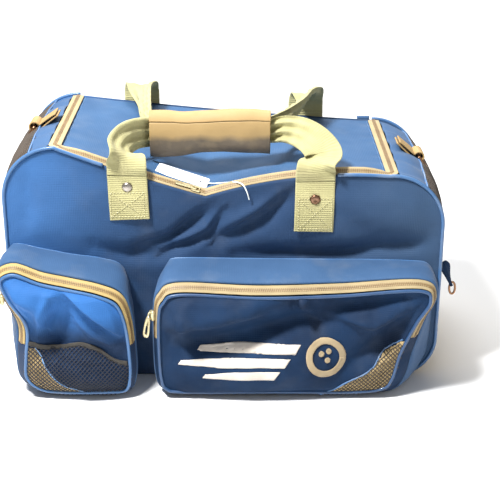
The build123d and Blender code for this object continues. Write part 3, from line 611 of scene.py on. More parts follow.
def end_piping(y, side_sign):
    parts = []
    for side in (-1, 1):
        line = []
        for s in np.linspace(0.0, end_length(side), 90):
            x, z, a = outline_point(side, s)
            line.append((x + side * math.sin(a) * 1.4, y, max(2.0, z + math.cos(a) * 1.4)))
        if side_sign < 0 and side > 0:
            lead = [(x, y, front_top(x) + 0.6) for x in np.linspace(128, 188, 24)]
            line = lead + line
        if side_sign < 0 and side < 0:
            lead = [(x, y, front_top(x) + 0.6) for x in np.linspace(-137, -188, 20)]
            line = lead + line
        parts.append(tube_data(resample(np.array(line), 3.0), 2.1, sides=9, hint=(0, side_sign, 0)))
    return parts


show(gather("front_piping_cord", end_piping(-115.4, -1), pipe_blue), BAG, "piping", "front_piping")
show(gather("back_piping_cord", end_piping(115.4, 1), pipe_blue), BAG, "piping", "back_piping")

# ---------------------------------------------------------------- lid, with its zip
LID_X = 186.0


def lid_z(x, y):
    share = (y + 112.0) / 223.0
    return front_top(x) + (back_top(x) - front_top(x)) * share


def lid_surface(x, y):
    inside = np.clip((LID_X - abs(x)) / 40, 0, 1) * np.clip((y + 104) / 26, 0, 1) * np.clip((112 - y) / 26,
        0, 1)
    inside = inside * inside * (3 - 2 * inside)
    z = lid_z(x, y) - 1.0
    bulge = -3.0 + 5.0 * math.exp(-((x + 110) / 60) ** 2) + 4.0 * math.exp(-((x - 110) / 70) ** 2)
    f = (float(fold(x, y, [(-150, -70), (-80, 0), (-60, 60)], 18, -2.6)) + float(fold(x, y,
        [(-30, -80), (40, -20), (110, 10)], 20, -2.8))
         + float(fold(x, y, [(60, 20), (120, 60)], 16, 1.8)) + float(fold(x, y, [(-120, -30), (-40, -60)],
             14, 1.6)))
    z += inside * (bulge + f + 1.0 * rough_noise((x, y, 0), 34.0, 3.3))
    z += 5.0 * math.exp(-(((y + 103) / 20) ** 2)) * float(np.clip((184 - abs(x)) / 26, 0, 1))
    pull = math.exp(-(((x - LID_X) / 12) ** 2))
    z += pull * 0.7 * math.sin(y / 4.2) * np.clip((y + 104) / 10, 0, 1)
    pull = math.exp(-(((x + LID_X) / 9) ** 2))
    z += pull * 0.35 * math.sin(y / 5.0) * np.clip((y + 104) / 10, 0, 1)
    return (x, y, z)


lid_grid = np.array([[lid_surface(x, y) for y in np.linspace(-103.0, 111.0,
                                                             84)] for x in np.linspace(-LID_X, LID_X,
    140)])
lid = slab("lid_cloth", lid_grid, 2.2, lid_blue)
show(lid, None, "lid_nylon", "lid_panel")

parts = []
for side in (-1, 1):
    line = np.array([lid_surface(side * (LID_X - 3.2), y) for y in np.linspace(-101, 109, 120)])
    parts += stitches(line, (0, 0, 1), 2.4, 1.6, 0.32, 0.2)
line = np.array([lid_surface(x, -100.4) for x in np.linspace(-LID_X + 4, LID_X - 4, 220)])
parts += stitches(line, (0, 0, 1), 2.4, 1.6, 0.32, 0.2)
show(gather("lid_stitching", parts, blue_thread), "lid", "lid_nylon")


def zip_rows(line, inward, up, name, tapes, body_high, low_nodes, high_nodes, tape_mat):
    """Two tapes with a coil on each: one on each side of a line. inward points to the second tape."""
    for sign, width, body, nodes, label in ((-1, tapes[0], BAG, low_nodes, "outer"),
                                            (1, tapes[1], body_high, high_nodes, "inner")):
        width = np.broadcast_to(np.asarray(width, float), (len(line),))[:, None]
        rows = [line + inward * sign * d + up * h for d,
                h in ((0.3, 0.5), (1.0, 0.7), (width * 0.5, 0.55), (width - 0.5, 0.3), (width, 0.2))]
        sheet = np.stack(rows, axis=1)
        if sign > 0:
            sheet = sheet[:, ::-1]
        tape = slab(f"{name}_{label}_tape", sheet, 0.9, tape_mat)
        teeth = []
        direction = np.gradient(line, axis=0)
        direction /= np.linalg.norm(direction, axis=1, keepdims=True)
        for row in np.hstack([line, inward, up, direction]):
            p, n, u, t = row[:3], row[3:6], row[6:9], row[9:12]
            teeth.append(box_data(p + n * sign * 1.15 + u * 1.3, t, n, u, (1.25, 2.1, 1.5)))
        chain = gather(f"{name}_{label}_coil", teeth, coil, smooth=False)
        seam = gather(f"{name}_{label}_seam",
                      stitches(line + inward * sign * (width - 1.2) + up * 0.55, up, 2.2, 1.4, 0.28),
                      tape_mat)
        for piece, n in ((tape, nodes), (chain, ()), (seam, ())):
            show(piece, body, "zip_tape", *n)


def unit(rows):
    return rows / np.maximum(np.linalg.norm(rows, axis=1, keepdims=True), 1e-9)


# one line round three sides: up the left end, along the front, back along the right end
zip_x = 191.6
left_run = [(-zip_x, y, TOPS[-1] - 0.4) for y in np.linspace(110, -94, 60)]
front_run = [(x, -107.4, front_top(x) - 0.2) for x in np.linspace(-182, 182, 140)]
right_run = [(zip_x, y, TOPS[1] - 0.4) for y in np.linspace(-94, 110, 60)]
corner_l = [(-zip_x, -101, 284.7), (-188.5, -105.8, 284.9)]
corner_r = [(188.5, -105.8, 251.9), (zip_x, -101, 251.7)]
chain = resample(np.array(left_run + corner_l + front_run + corner_r + right_run), ZIP_PITCH)
ahead = unit(np.gradient(chain, axis=0))
level_in = unit(np.cross(np.array([0, 0, 1.0])[None], ahead))
tilt = np.clip((186 - np.abs(chain[:, 0])) / 26, 0, 1) * (chain[:, 1] < -90)
level_in = unit(level_in + np.array([0, 0, 0.8])[None] * tilt[:, None])
chain[:, 2] += 2.6 * tilt
chain_up = unit(np.cross(ahead, level_in))
wide = 6.9 - 1.9 * tilt
zip_rows(chain, level_in, chain_up, "main_zip", (wide, wide), "lid", ("main_zip_tape",), ("lid_zip_tape",),
         zip_tan)

# rolled end of the zip at the back right corner
rolled = np.array([[(x, 119.4 + (2.9 + 0.2 * math.sin(x)) * math.cos(t),
                     253.0 + 2.9 * math.sin(t)) for t in np.linspace(5.6, 0.1, 26)]
                   for x in np.linspace(171, 187, 10)])
show(slab("zip_end_roll", rolled, 1.1, side_blue), BAG, "body_nylon", "zip_end_tab")


# ---------------------------------------------------------------- webbing
def strap(name, line, across, thick, pinch=None):
    """Ribbed webbing along a line. across gives its width direction at each point; pinch narrows and gathers it."""
    line = np.asarray(line, float)
    across = unit(np.asarray(across, float))
    ahead = unit(np.gradient(line, axis=0))
    across = unit(across - ahead * np.sum(across * ahead, axis=1, keepdims=True))
    up = np.cross(ahead, across)
    us = np.linspace(-0.5, 0.5, 44)
    pinch = np.ones(len(line)) if pinch is None else np.asarray(pinch, float)
    rib = np.full(len(us), 0.16) * np.abs(np.sin(us * math.pi * 30))
    edge_fade = np.clip((0.5 - np.abs(us)) / 0.03, 0, 1)
    run = np.concatenate([[0], np.cumsum(np.linalg.norm(np.diff(line, axis=0), axis=1))])
    sheets = []
    for sign in (1, -1):
        rows = []
        for i in range(len(line)):
            g = 1 - pinch[i]
            wave = g * 0.23 * WEBBING_W * np.sin(us * math.pi * 6) * (0.8 + 0.2 * math.sin(i / 5))
            weft = 0.62 * abs(math.sin(math.pi * run[i] / 2.5)) ** 0.7 * edge_fade
            rows.append(line[i] + across[i] * (us * WEBBING_W * pinch[i])[:, None]
                        + up[i] * (wave + sign * (thick / 2 - 0.3 + rib + weft))[:, None])
        sheets.append(np.array(rows))
    return two_sided(name, sheets[1], sheets[0], webbing)


LEGS = {-1: (-110.0, 203.0, 255.0, 241.0), 1: (103.0, 188.0, 248.0, 227.0)}
for side, word in SIDES:
    x, low, high, rivet = LEGS[side]
    lean = -0.02 if side < 0 else 0.01
    zs = np.arange(low, high + 0.1, 0.5)
    out = [float(panel_push(x, z, front_top(x))) for z in zs]
    line = np.array([(x + lean * (z - high) * 2, -DEEP - 1.7 - max(0.0, o), z) for z, o in zip(zs, out)])
    piece = strap(f"front_{word}_leg", line, np.tile((1.0, 0, 0.0), (len(line), 1)), 1.7)
    show(piece, BAG, "webbing", *(("front_handle_legs",) if side < 0 else ()))
    y = -DEEP - 3.3
    frame_line = [(x - 19, high - 20), (x + 19, high - 20), (x + 19, low + 4), (x - 19, low + 4),
                  (x - 19, high - 20)]
    cross = [[(x - 19, low + 4), (x + 19, high - 20)], [(x - 19, high - 20), (x + 19, low + 4)]]
    parts = []
    for run in [frame_line, *cross]:
        pts = []
        for (ax, az), (bx, bz) in zip(run, run[1:]):
            for t in np.linspace(0, 1, 14):
                px, pz = ax + (bx - ax) * t, az + (bz - az) * t
                pts.append((px, y - max(0.0, float(panel_push(x, pz, front_top(x)))), pz))
        parts += stitches(pts, (0, -1, 0), 2.6, 1.2, 0.4, 0.05)
    show(gather(f"front_{word}_stitching", parts, thread), BAG, "webbing")


def dome(centre, normal, radius, height, material, name, facets=0):
    """A domed rivet head with a rim, by turning a profile."""
    n = Vector(normal).normalized()
    a = n.orthogonal().normalized()
    b = n.cross(a)
    profile = [(0.0, height), (radius * 0.35, height * 0.97), (radius * 0.62, height * 0.82),
               (radius * 0.82, height * 0.5),
               (radius * 0.93, height * 0.2), (radius * 0.9, height * 0.12), (radius, height * 0.08),
               (radius, -0.4)]
    if facets:
        profile[1:3] = [(radius * 0.3, height * 0.72), (radius * 0.55, height * 0.95)]
    sides = 36
    pts, faces = [], []
    for r, h in profile[1:]:
        for i in range(sides):
            t = ROUND * i / sides
            rr = r * (1 + (0.05 * math.cos(facets * t) if facets else 0))
            pts.append(tuple(Vector(centre) + n * h + a * rr * math.cos(t) + b * rr * math.sin(t)))
    top = len(pts)
    pts.append(tuple(Vector(centre) + n * (profile[0][1] if not facets else height * 0.45)))
    rows = len(profile) - 1
    for k in range(rows - 1):
        for i in range(sides):
            j = (i + 1) % sides
            faces.append((k * sides + i, (k + 1) * sides + i, (k + 1) * sides + j, k * sides + j))
    for i in range(sides):
        faces.append((top, i, (i + 1) % sides))
    faces.append(tuple((rows - 1) * sides + i for i in range(sides))[::-1])
    return raw(name, pts, faces, material)


for side, word in SIDES:
    x, low, high, rivet = LEGS[side]
    bump = max(0.0, float(panel_push(x, rivet, front_top(x))))
    piece = dome((x, -DEEP - 3.0 - bump, rivet), (0, -1, 0), 6.2, 2.6, steel if side < 0 else bronze,
                 f"front_{word}_rivet", 0 if side < 0 else 6)
    show(piece, BAG, "rivet_steel", *(("front_rivets",) if side < 0 else ()))

# back legs, straps' feet and rivets
for side, word in SIDES:
    x = LEGS[side][0]
    top = 268.5 - 0.0868 * x
    zs = np.arange(top - 75, top + 5, 0.5)
    line = np.array([(x, DEEP + 1.6, z) for z in zs])
    piece = strap(f"back_{word}_leg", line, np.tile((-1.0, 0, 0.0), (len(line), 1)), 1.7)
    show(piece, BAG, "webbing", *(("back_handle_legs",) if side < 0 else ()))
    piece = dome((x, DEEP + 3.0, top - 37.5), (0, 1, 0), 6.2, 2.4, steel, f"back_{word}_rivet")
    show(piece, BAG, "rivet_steel", *(("back_rivets",) if side < 0 else ()))

GRIP_Y, GRIP_Z = -60.0, 288.0


def handle_straps(prefix, node, bends):
    """Two straps from rows of centres, width directions and widths. They ride no body."""
    made = []
    for side, word in SIDES:
        centre, wide, tight = bends[side]
        line = resample(path(np.hstack([centre, wide, np.array(tight)[:, None]]), 1.0), 0.55)
        piece = strap(f"{prefix}_{word}_strap", line[:, :3], line[:, 3:6], 1.6,
                      pinch=np.clip(line[:, 6], 0.5, 1))
        made.append(show(piece, None, "webbing", *((node,) if side < 0 else ())))
    return made


front_straps = handle_straps("front", "front_handle_strap", {
    -1: ([(-110, -117.4, 255), (-110, -118.4, 266), (-111, -116, 277), (-116, -106, 284), (-111, -92, 290),
          (-100, -76, 291), (-88, -64, 289), (-74, -62, 288)],
         [(1, 0, 0), (1, -0.05, -0.3), (0.9, 0.1, -0.5), (0.65, 0.2, -0.7), (0.35, 0.25, -0.9),
          (0.1, 0.2, -1),
          (0, 0.1, -1), (0, 0, -1)],
         [1, 1, 0.97, 0.92, 0.88, 0.84, 0.8, 0.78]),
    1: ([(103, -117.4, 248), (103, -118.4, 258), (105, -116, 267), (112, -104, 276), (103, -92, 287),
         (87, -80, 294),
         (70, -68, 294), (54, -62, 290), (40, -62, 288)],
        [(1, 0, 0), (1, 0.05, 0.25), (0.95, 0.1, 0.4), (0.8, 0.3, 0.35), (0.72, 0.45, 0.45),
         (0.55, 0.45, 0.7),
         (0.3, 0.3, 0.9), (0.05, 0.1, 1), (0, 0, 1)],
        [1, 1, 0.98, 0.96, 0.92, 0.82, 0.7, 0.62, 0.6]),
})
# the front strap's run inside the grip
line = np.array([(x, -62.0, 288.0) for x in np.arange(-86, 52, 1.0)])
core = strap("front_core_strap", line, np.tile((0, 0, 1.0), (len(line), 1)), 1.6,
             pinch=np.full(len(line), 0.6))
show(core, "front_handle", "webbing")

back_straps = handle_straps("back", "back_handle_strap", {
    -1: ([(-110, 117, 281.5), (-110, 118, 291), (-109, 114, 298), (-106, 98, 300), (-103, 70, 298),
          (-99, 30, 295),
          (-92, -20, 291), (-84, -54, 288), (-74, -58, 287)],
         [(-1, 0, 0), (-1, 0, 0), (-1, 0.1, 0.1), (-0.9, 0.2, -0.3), (-0.6, 0.2, -0.8), (-0.5, 0.1, -0.9),
          (-0.3, 0, -1), (0, -0.1, -1), (0, 0, -1)],
         [1, 1, 0.95, 0.85, 0.72, 0.66, 0.62, 0.62, 0.62]),
    1: ([(103, 117, 263.5), (103, 118, 274), (104, 114, 284), (106, 98, 292), (100, 70, 293), (90, 30, 292),
         (72, -20, 292), (52, -54, 290), (40, -58, 288)],
        [(-1, 0, 0), (-1, 0, 0), (-1, 0.1, 0.1), (-0.9, 0.2, -0.4), (-0.6, 0.2, -0.8), (-0.5, 0.1, -0.9),
         (-0.3, 0, -1), (0, -0.1, -1), (0, 0, -1)],
        [1, 1, 0.95, 0.85, 0.72, 0.66, 0.62, 0.62, 0.62]),
})


# ---------------------------------------------------------------- grip
def grip_section(x, t):
    """A point on the wrapped grip's outline: t goes round from the lower back, over the top, to the lower front."""
    left, right = -87.0, 53.0
    s = (x - left) / (right - left)
    droop = 3.0 * math.sin(s * math.pi * 2.2 + 0.4) * (1 if t > 0.55 else 0.35)
    swell = 1.0 + 0.10 * math.sin(math.pi * s)
    ry, rz = 11.5 * swell, 23.5 * (1 + 0.05 * math.cos(s * 9))
    a = math.pi * (-0.46 + 1.92 * t)
    c, d = math.cos(a), math.sin(a)
    y = GRIP_Y + ry * math.copysign(abs(c) ** 0.75, c)
    z = GRIP_Z + rz * math.copysign(abs(d) ** 0.8, d) - droop * max(0.0, -d)
    lean = 5.0 * (s - 0.35)
    n = 0.9 * rough_noise((x, y, z), 20.0, 5.5)
    return (x, y + n, z + lean * 0.5 + n * 0.6)


wrap = np.array([[grip_section(x, t) for t in np.linspace(0, 0.66, 60)] for x in np.linspace(-87, 53, 110)])
closure = np.array([[np.array(grip_section(x, t)) - np.array((0, 0.5, 0)) for t in np.linspace(0.664, 0.985,
    36)]
                    for x in np.linspace(-86.6, 52.6, 110)])
show(slab("grip_wrap_leather", wrap, 2.2, hide_top), "back_handle", "grip_leather", "grip_wrap")
lower = slab("grip_flap_leather", closure, 1.9, hide_low)
show(lower, "grip_closure", "grip_leather", "grip_flap")
parts = []
for t in (0.575, 0.59):
    line = [np.array(grip_section(x, t)) for x in np.linspace(-85, 51, 160)]
    parts += stitches(line, (0, -1, 0.2), *FINE, 0.35)
for x in (-82.5, 48.5):
    parts += stitches([np.array(grip_section(x, t)) for t in np.linspace(0.02, 0.59, 60)], (0, -0.4, 0.6),
                      *FINE, 0.4)
show(gather("grip_stitching", parts, thread), "back_handle", "grip_leather")
parts = []
for x in (-82.5, 48.5):
    parts += stitches([np.array(grip_section(x, t)) - np.array((0, 0.6, 0)) for t in np.linspace(0.66, 0.97,
        36)],
                      (0, -1, 0), *FINE, 0.3)
line = [np.array(grip_section(x, 0.95)) - np.array((0, 0.6, 0)) for x in np.linspace(-84, 50, 150)]
parts += stitches(line, (0, -1, 0), *FINE, 0.3)
show(gather("grip_flap_stitching", parts, thread), "grip_closure", "grip_leather")


# ---------------------------------------------------------------- pockets
POCKETS = {
    "right": {
        "seam": [(-66, 145), (-70, 120), (-70, 60), (-70, 22), (-62, 7), (-40, 3), (80, 3), (200, 3),
                 (224, 8),
                 (238, 28), (242, 60), (242, 115),
                 (238, 142), (210, 148), (120, 149), (20, 150), (-50, 151)],
        "face": [(-74, 124), (-80, 105), (-81, 60), (-79, 24), (-72, 8), (-50, 2.5), (60, 2.5), (150, 2.5),
                 (186, 8),
                 (198, 24), (206, 56), (222, 92),
                 (238, 122), (222, 142), (130, 136), (40, 133), (-52, 137)],
    },
    "left": {
        "seam": [(-246, 166), (-250, 140), (-250, 90), (-248, 50), (-238, 18), (-215, 5), (-180, 3),
                 (-145, 3),
                 (-126, 6), (-117, 22), (-116, 60),
                 (-116, 115), (-121, 142), (-145, 152), (-180, 158), (-210, 164), (-236, 169)],
        "face": [(-256, 150), (-248, 122), (-230, 92), (-233, 55), (-234, 26), (-218, 8), (-190, 2.5),
                 (-140, 2.5),
                 (-112, 6), (-104, 26), (-104, 60),
                 (-108, 96), (-118, 122), (-140, 134), (-175, 143), (-205, 150), (-236, 162)],
    },
}
COUNT = 300
FOLD_Z = {"right": 76.0, "left": 68.0}
BODY_BLUE = {"right": right_shaded_blue, "left": left_blue}


def match(points, count=COUNT):
    """Every control point lands at the same place in both loops, so the loops join without a twist."""
    p = np.asarray(points, float)
    n, per = len(p), count // len(p)
    out = []
    for i in range(n):
        a, b, c, d = p[(i - 1) % n], p[i], p[(i + 1) % n], p[(i + 2) % n]
        out += between(a, b, c, d, per)
    return np.array(out)


def pocket_fold(word, x, z):
    if word == "left":
        push = 7.0 * np.exp(-(((x + 215) / 45) ** 2) - ((z - 128) / 26) ** 2)
        push = push + folds(x, z, [
            ([(-180, 138), (-150, 111), (-118, 84)], 15, 9.0, 0.2),
            ([(-180, 128), (-192, 98), (-200, 70)], 19, -9.0),
            ([(-196, 132), (-208, 104), (-214, 76)], 11, 6.0, 0.6),
            ([(-168, 100), (-150, 84), (-126, 68)], 14, 4.0, 0.35),
            ([(-246, 140), (-214, 118), (-204, 92)], 12, 3.2, 0.4),
            ([(-230, 88), (-180, 72), (-110, 50)], 11, -3.5),
        ])
        push = push + 5.5 * np.exp(-(((x + 165) / 55) ** 2) - ((z - 30) / 26) ** 2)
        push = push + folds(x, z, [
            ([(-190, 44), (-160, 30), (-130, 26)], 9, 2.2),
        ])
        return 1.65 * push
    push = 5.5 * np.exp(-(((x + 20) / 60) ** 2) - ((z - 110) / 26) ** 2)
    push = push + folds(x, z, [
        ([(84, 134), (88, 116), (106, 100)], 9, 5.0, 0.35),
        ([(78, 132), (80, 114)], 4, -3.0),
        ([(200, 134), (92, 99), (1, 76), (-73, 70)], 17, -8.0),
        ([(-74, 92), (-20, 98), (44, 112)], 14, 3.6, 0.35),
        ([(236, 116), (186, 70), (140, 44)], 15, -6.5),
        ([(112, 108), (170, 94), (214, 116)], 14, 4.6, 0.4),
    ])
    push = push + 6.5 * np.exp(-(((x - 40) / 110) ** 2) - ((z - 36) / 30) ** 2)
    push = push + folds(x, z, [
        ([(-62, 130), (-50, 96), (-62, 58)], 12, 3.2, 0.35),
    ])
    return 2.3 * push


def coons(loop, corners, nu, nv):
    """A filled surface from a closed loop cut at four places: lower left, lower right, upper right, upper left."""
    n = len(loop)

    def piece(a, b, count):
        ids = np.arange(a, b if b > a else b + n, 1)
        seg = loop[np.append(ids, ids[-1] + 1) % n]
        return resample(seg, count=count)

    a, b, c, d = corners
    low, right, high, left = piece(a, b, nu), piece(b, c, nv), piece(c, d, nu)[::-1], piece(d, a, nv)[::-1]
    u, v = np.linspace(0, 1, nu)[:, None, None], np.linspace(0, 1, nv)[None, :, None]
    flat = ((1 - v) * low[:, None] + v * high[:, None] + (1 - u) * left[None] + u * right[None]
            - ((1 - u) * (1 - v) * low[0] + u * (1 - v) * low[-1] + (1 - u) * v * high[0] + u * v * high[-1]))
    return flat


pocket_faces = {}
for word in ("right", "left"):
    seam, face = match(POCKETS[word]["seam"]), match(POCKETS[word]["face"])
    count = len(seam)
    fold_z = FOLD_Z[word]
    flap = f"{word}_flap"
    blue = BODY_BLUE[word]

    def at(y, seam=seam, face=face):
        share = (-DEEP - y) / 60.0
        flat = seam + (face - seam) * min(1.0, share)
        along = unit(np.roll(flat, -3, 0) - np.roll(flat, 3, 0))
        out = np.column_stack([-along[:, 1], along[:, 0]])
        if np.sum(out * (flat - flat.mean(0))) < 0:
            out = -out
        bevel = min(1.0, max(0.0, (-159.0 - y) / 14.4))
        rise = min(1.0, share / 0.73) * 3.0
        flat = flat + out * (rise - 8.5 * bevel)
        return np.column_stack([flat[:, 0], np.full(len(flat), y), np.maximum(flat[:, 1], FLOOR_GAP)])

    # gusset between the body and the zip
    rows = []
    for y in np.linspace(-114.0, -161.0, 18):
        ring = at(y)
        centre = ring.mean(0)
        out = ring - centre
        out[:, 1] = 0
        out = unit(out)
        share = (-114.0 - y) / 47.0
        swell = 2.4 * math.sin(math.pi * share)
        wave = np.array([0.9 * rough_noise(p, 15.0, 7.7) for p in ring]) * math.sin(math.pi * min(1,
            share + 0.1))
        ring = ring + out * (swell + wave)[:, None]
        ring[:, 2] = np.maximum(ring[:, 2], FLOOR_GAP)
        rows.append(ring)
    ring_grid = np.stack(rows, axis=1)
    piece = slab(f"{word}_gusset_cloth", ring_grid, -1.8, side_blue, wrap=True)
    show(piece, BAG, "pocket_nylon", f"{word}_pocket_gusset")

    # the seam on the body, with its row of stitches
    line = at(-115.0)
    crest = np.array([p for p in line if p[2] > 138])
    crest = crest[np.argsort(crest[:, 0])]
    lift = np.array([float(panel_push(p[0], p[2], front_top(p[0]))) for p in crest])
    crest[:, 1] = -115.4 - np.maximum(lift, -0.5)
    crest[:, 2] += 1.5
    show(tube(f"{word}_gusset_seam", resample(crest, 3.0), 1.1, pipe_blue, flat=0.8), BAG, "pocket_nylon")
    dots = resample(crest, 1.0) + np.array((0, -0.6, -2.6))
    show(gather(f"{word}_gusset_stitching", stitches(dots, (0, -1, 0.4), 2.6, 1.6, 0.36, 0.3), blue_thread),
         BAG,
         "pocket_nylon")

    # ring below the zip's ends, in one with the front
    loop_up = at(-166.7)
    heights = loop_up[:, 2]
    above = heights > fold_z
    begin = [i for i in range(count) if above[i] and not above[i - 1]][0]
    ids = [(begin + k) % count for k in range(int(above.sum()))]
    across = unit(at(-172.6)[ids] - at(-160.6)[ids])
    chain_line = resample(np.hstack([loop_up[ids], across]), ZIP_PITCH)
    inward = unit(chain_line[:, 3:])
    chain_line = chain_line[:, :3]
    ahead = unit(np.gradient(chain_line, axis=0))
    outward = unit(np.cross(ahead, inward))
    if np.mean(np.sum(outward * (chain_line - chain_line.mean(0)), axis=1)) < 0:
        outward = -outward
    chain_line = chain_line + outward * 0.5
    zip_rows(chain_line, inward, outward, f"{word}_pocket_zip", (6.2, 5.8), flap,
             (f"{word}_pocket_zip_tape",), (f"{word}_flap_tape",), zip_gold if word == "left" else zip_tan)

    below = [i for i in range(count) if not above[i]]
    first = [i for i in below if above[i - 1]][0]
    ids = [(first + k - 1) % count for k in range(len(below) + 2)]
    rows = []
    for y in np.linspace(-160.5, -173.5, 6):
        rows.append(at(y)[ids])
    show(slab(f"{word}_lower_gusset", np.stack(rows, axis=1), -1.6, blue), BAG, "pocket_nylon")

    # front
    rim = at(-173.4)
    per = count // len(POCKETS[word]["face"])
    corners = [k * per for k in (5, 8, 13, 16)]
    sheet = coons(rim, corners, 120, 76)
    flat_u = np.minimum(np.linspace(0, 1, 120), 1 - np.linspace(0, 1, 120))[:, None]
    flat_v = np.minimum(np.linspace(0, 1, 76), 1 - np.linspace(0, 1, 76))[None]
    inside = np.clip(np.minimum(flat_u * 10, 1), 0, 1) * np.clip(np.minimum(flat_v * 8, 1), 0, 1)
    inside = inside * inside * (3 - 2 * inside)
    push = pocket_fold(word, sheet[:, :, 0], sheet[:, :, 2])
    ripple = np.array([[0.7 * rough_noise(p, 20.0, 9.1) + 0.3 * rough_noise(p, 8.0, 2.9)
                        + 2.4 * (0.3 - abs(rough_noise(p, 36.0, 4.4))) for p in row] for row in sheet])
    sheet[:, :, 1] -= inside * (push + ripple)
    sheet[:, :, 1] = np.clip(sheet[:, :, 1], -192.0, -150.0)
    pocket_faces[word] = sheet
    face_piece = slab(f"{word}_pocket_cloth", sheet, 2.0, blue)
    show(face_piece, None, "pocket_nylon", f"{word}_pocket_front", f"{word}_pocket_flap")
    cord = np.copy(rim)
    cord[:, 1] = -174.0
    pipe = tube(f"{word}_face_piping", resample(cord, 2.6, closed=True), 2.0,
                pipe_blue if word == "left" else pipe_navy,
                closed=True, sides=9, hint=(0, -1, 0.1))
    show(pipe, None, "piping", f"{word}_pocket_piping", f"{word}_flap_piping")
    for piece in (face_piece, pipe):
        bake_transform(piece)


def face_y(word, x, z):
    """The pocket front's surface under a point, from its grid."""
    sheet = pocket_faces[word]
    d = (sheet[:, :, 0] - x) ** 2 + (sheet[:, :, 2] - z) ** 2
    i, j = np.unravel_index(np.argmin(d), d.shape)
    return float(sheet[i, j, 1]) if d[i, j] < 9.0 else None


# tan corners, under their nets
BOUND = {"right": [(96, 0), (118, 8), (138, 21), (168, 38), (184, 60), (212, 82)],
         "left": [(-224, 74), (-213, 59), (-204, 40), (-186, 21), (-150, 2)]}


BIND = [(-226, 72), (-219, 70), (-207, 65), (-189, 65), (-164, 68), (-145, 62), (-127, 50), (-112, 46)]

def binding_z(x):
    b = np.array(BIND, float)
    return float(np.interp(x, b[:, 0], b[:, 1]))


def bound_side(word, x, z):
    """Above 0 outside the corner's edge, in the tan area."""
    b = np.array(BOUND[word], float)
    if word == "right":
        return x - np.interp(z, b[:, 1], b[:, 0])
    order = np.argsort(b[:, 1])
    return np.interp(z, b[order, 1], b[order, 0]) - x


for word in ("right", "left"):
    sheet = pocket_faces[word]
    fold_z = FOLD_Z[word]
    inside = (bound_side(word, sheet[:, :, 0], sheet[:, :, 2]) > 0) & (sheet[:, :, 2] < fold_z - 1)
    points, faces, seen = [], [], {}
    for i in range(sheet.shape[0] - 1):
        for j in range(sheet.shape[1] - 1):
            quad = [(i, j), (i + 1, j), (i + 1, j + 1), (i, j + 1)]
            if not all(inside[q] for q in quad):
                continue
            ids = []
            for q in quad:
                if q not in seen:
                    seen[q] = len(points)
                    points.append(sheet[q] + np.array((0, -0.5, 0)))
                ids.append(seen[q])
            faces.append(tuple(ids))
    show(raw(f"{word}_corner_cloth", points, faces, tan_cloth), BAG, "tan_nylon", f"{word}_mesh_corner")
    edge = []
    for x, z in path(BOUND[word], 2.5):
        y = face_y(word, x, z)
        if y is not None and z < fold_z:
            edge.append((x, y - 0.9, z))
    radius, cloth = (1.0, pipe_blue) if word == "right" else (0.8, blue_thread)
    show(tube(f"{word}_corner_edge", np.array(edge), radius, cloth, flat=0.7), BAG, "pocket_nylon")

    def on_face(u, v, word=word, fold_z=fold_z):
        if word == "right" and bound_side(word, u, v) < 0:
            return None
        limit = fold_z - 4 if word == "right" else binding_z(u) + 1
        if v > limit:
            return None
        y = face_y(word, u, v)
        return None if y is None else (u, y - 1.3, v)

    span = (98, 238) if word == "right" else (-240, -104)
    strands = net_data(on_face, span, (3, 78), 0.5)
    show(gather(f"{word}_pocket_netting", strands, net_dark if word == "right" else net_navy), BAG, "mesh",
         f"{word}_pocket_net")

band = []
for x, z in path(BIND, 2.0):
    y = face_y("left", x, z)
    y = -176.0 if y is None else y
    ripple = 0.8 * math.sin(x / 5.0)
    band.append([(x, y - 1.5 - 0.3 * ripple - 0.5 * math.sin(math.pi * t),
                  z + 3.0 - 6.0 * t) for t in np.linspace(1,
        0, 7)])
show(slab("net_elastic", np.array(band), 1.0, elastic), BAG, "elastic", "net_binding")


# ---------------------------------------------------------------- emblem: a ball with three holes, and speed bars
def patch(name, outline_rows, material):
    """A raised patch: rows of (x, z) laid on the right pocket's front."""
    rows = []
    for row in outline_rows:
        line = []
        for x, z in row:
            y = face_y("right", x, z)
            line.append((x, (-176.0 if y is None else y) - 0.9, z))
        rows.append(line)
    return slab(name, np.array(rows), 0.8, material)


bars = [(-30, 84, 69, 59.0), (-52, 72, 54.5, 44.5), (-24, 60, 40.0, 30.0)]
for i, (x0, x1, z1, z0) in enumerate(bars):
    rows = []
    for x in np.linspace(x0, x1, 60):
        s = (x - x0) / (x1 - x0)
        half = (z1 - z0) / 2 * min(1.0, 0.45 + 1.4 * s)
        mid = (z0 + z1) / 2 + 1.6 * math.sin(s * 2.2)
        rows.append([(x + (z - mid) * 0.7, z) for z in np.linspace(mid - half, mid + half, 7)])
    piece = patch(f"emblem_bar_{i}", rows, silk)
    show(piece, BAG, "embroidery", *(("pocket_emblem",) if i == 0 else ()))


def disc(name, x, z, radii, count):
    """A raised ring, or a spot where the first radius is small."""
    angles = np.linspace(0, ROUND, count)
    rows = np.array([[(x + r * math.cos(a), z + r * math.sin(a)) for a in angles] for r in radii])
    show(patch(name, rows.transpose(1, 0, 2), gold_silk), BAG, "embroidery")


BALL_X, BALL_Z = 116.0, 56.0
disc("emblem_ball_ring", BALL_X, BALL_Z, np.linspace(15.5, 23.0, 6), 72)
for i, (dx, dz) in enumerate(((-5.4, 4.6), (3.0, 7.2), (1.6, -2.8))):
    disc(f"emblem_hole_{i}", BALL_X + dx, BALL_Z + dz, np.linspace(0.2, 3.2, 4), 24)

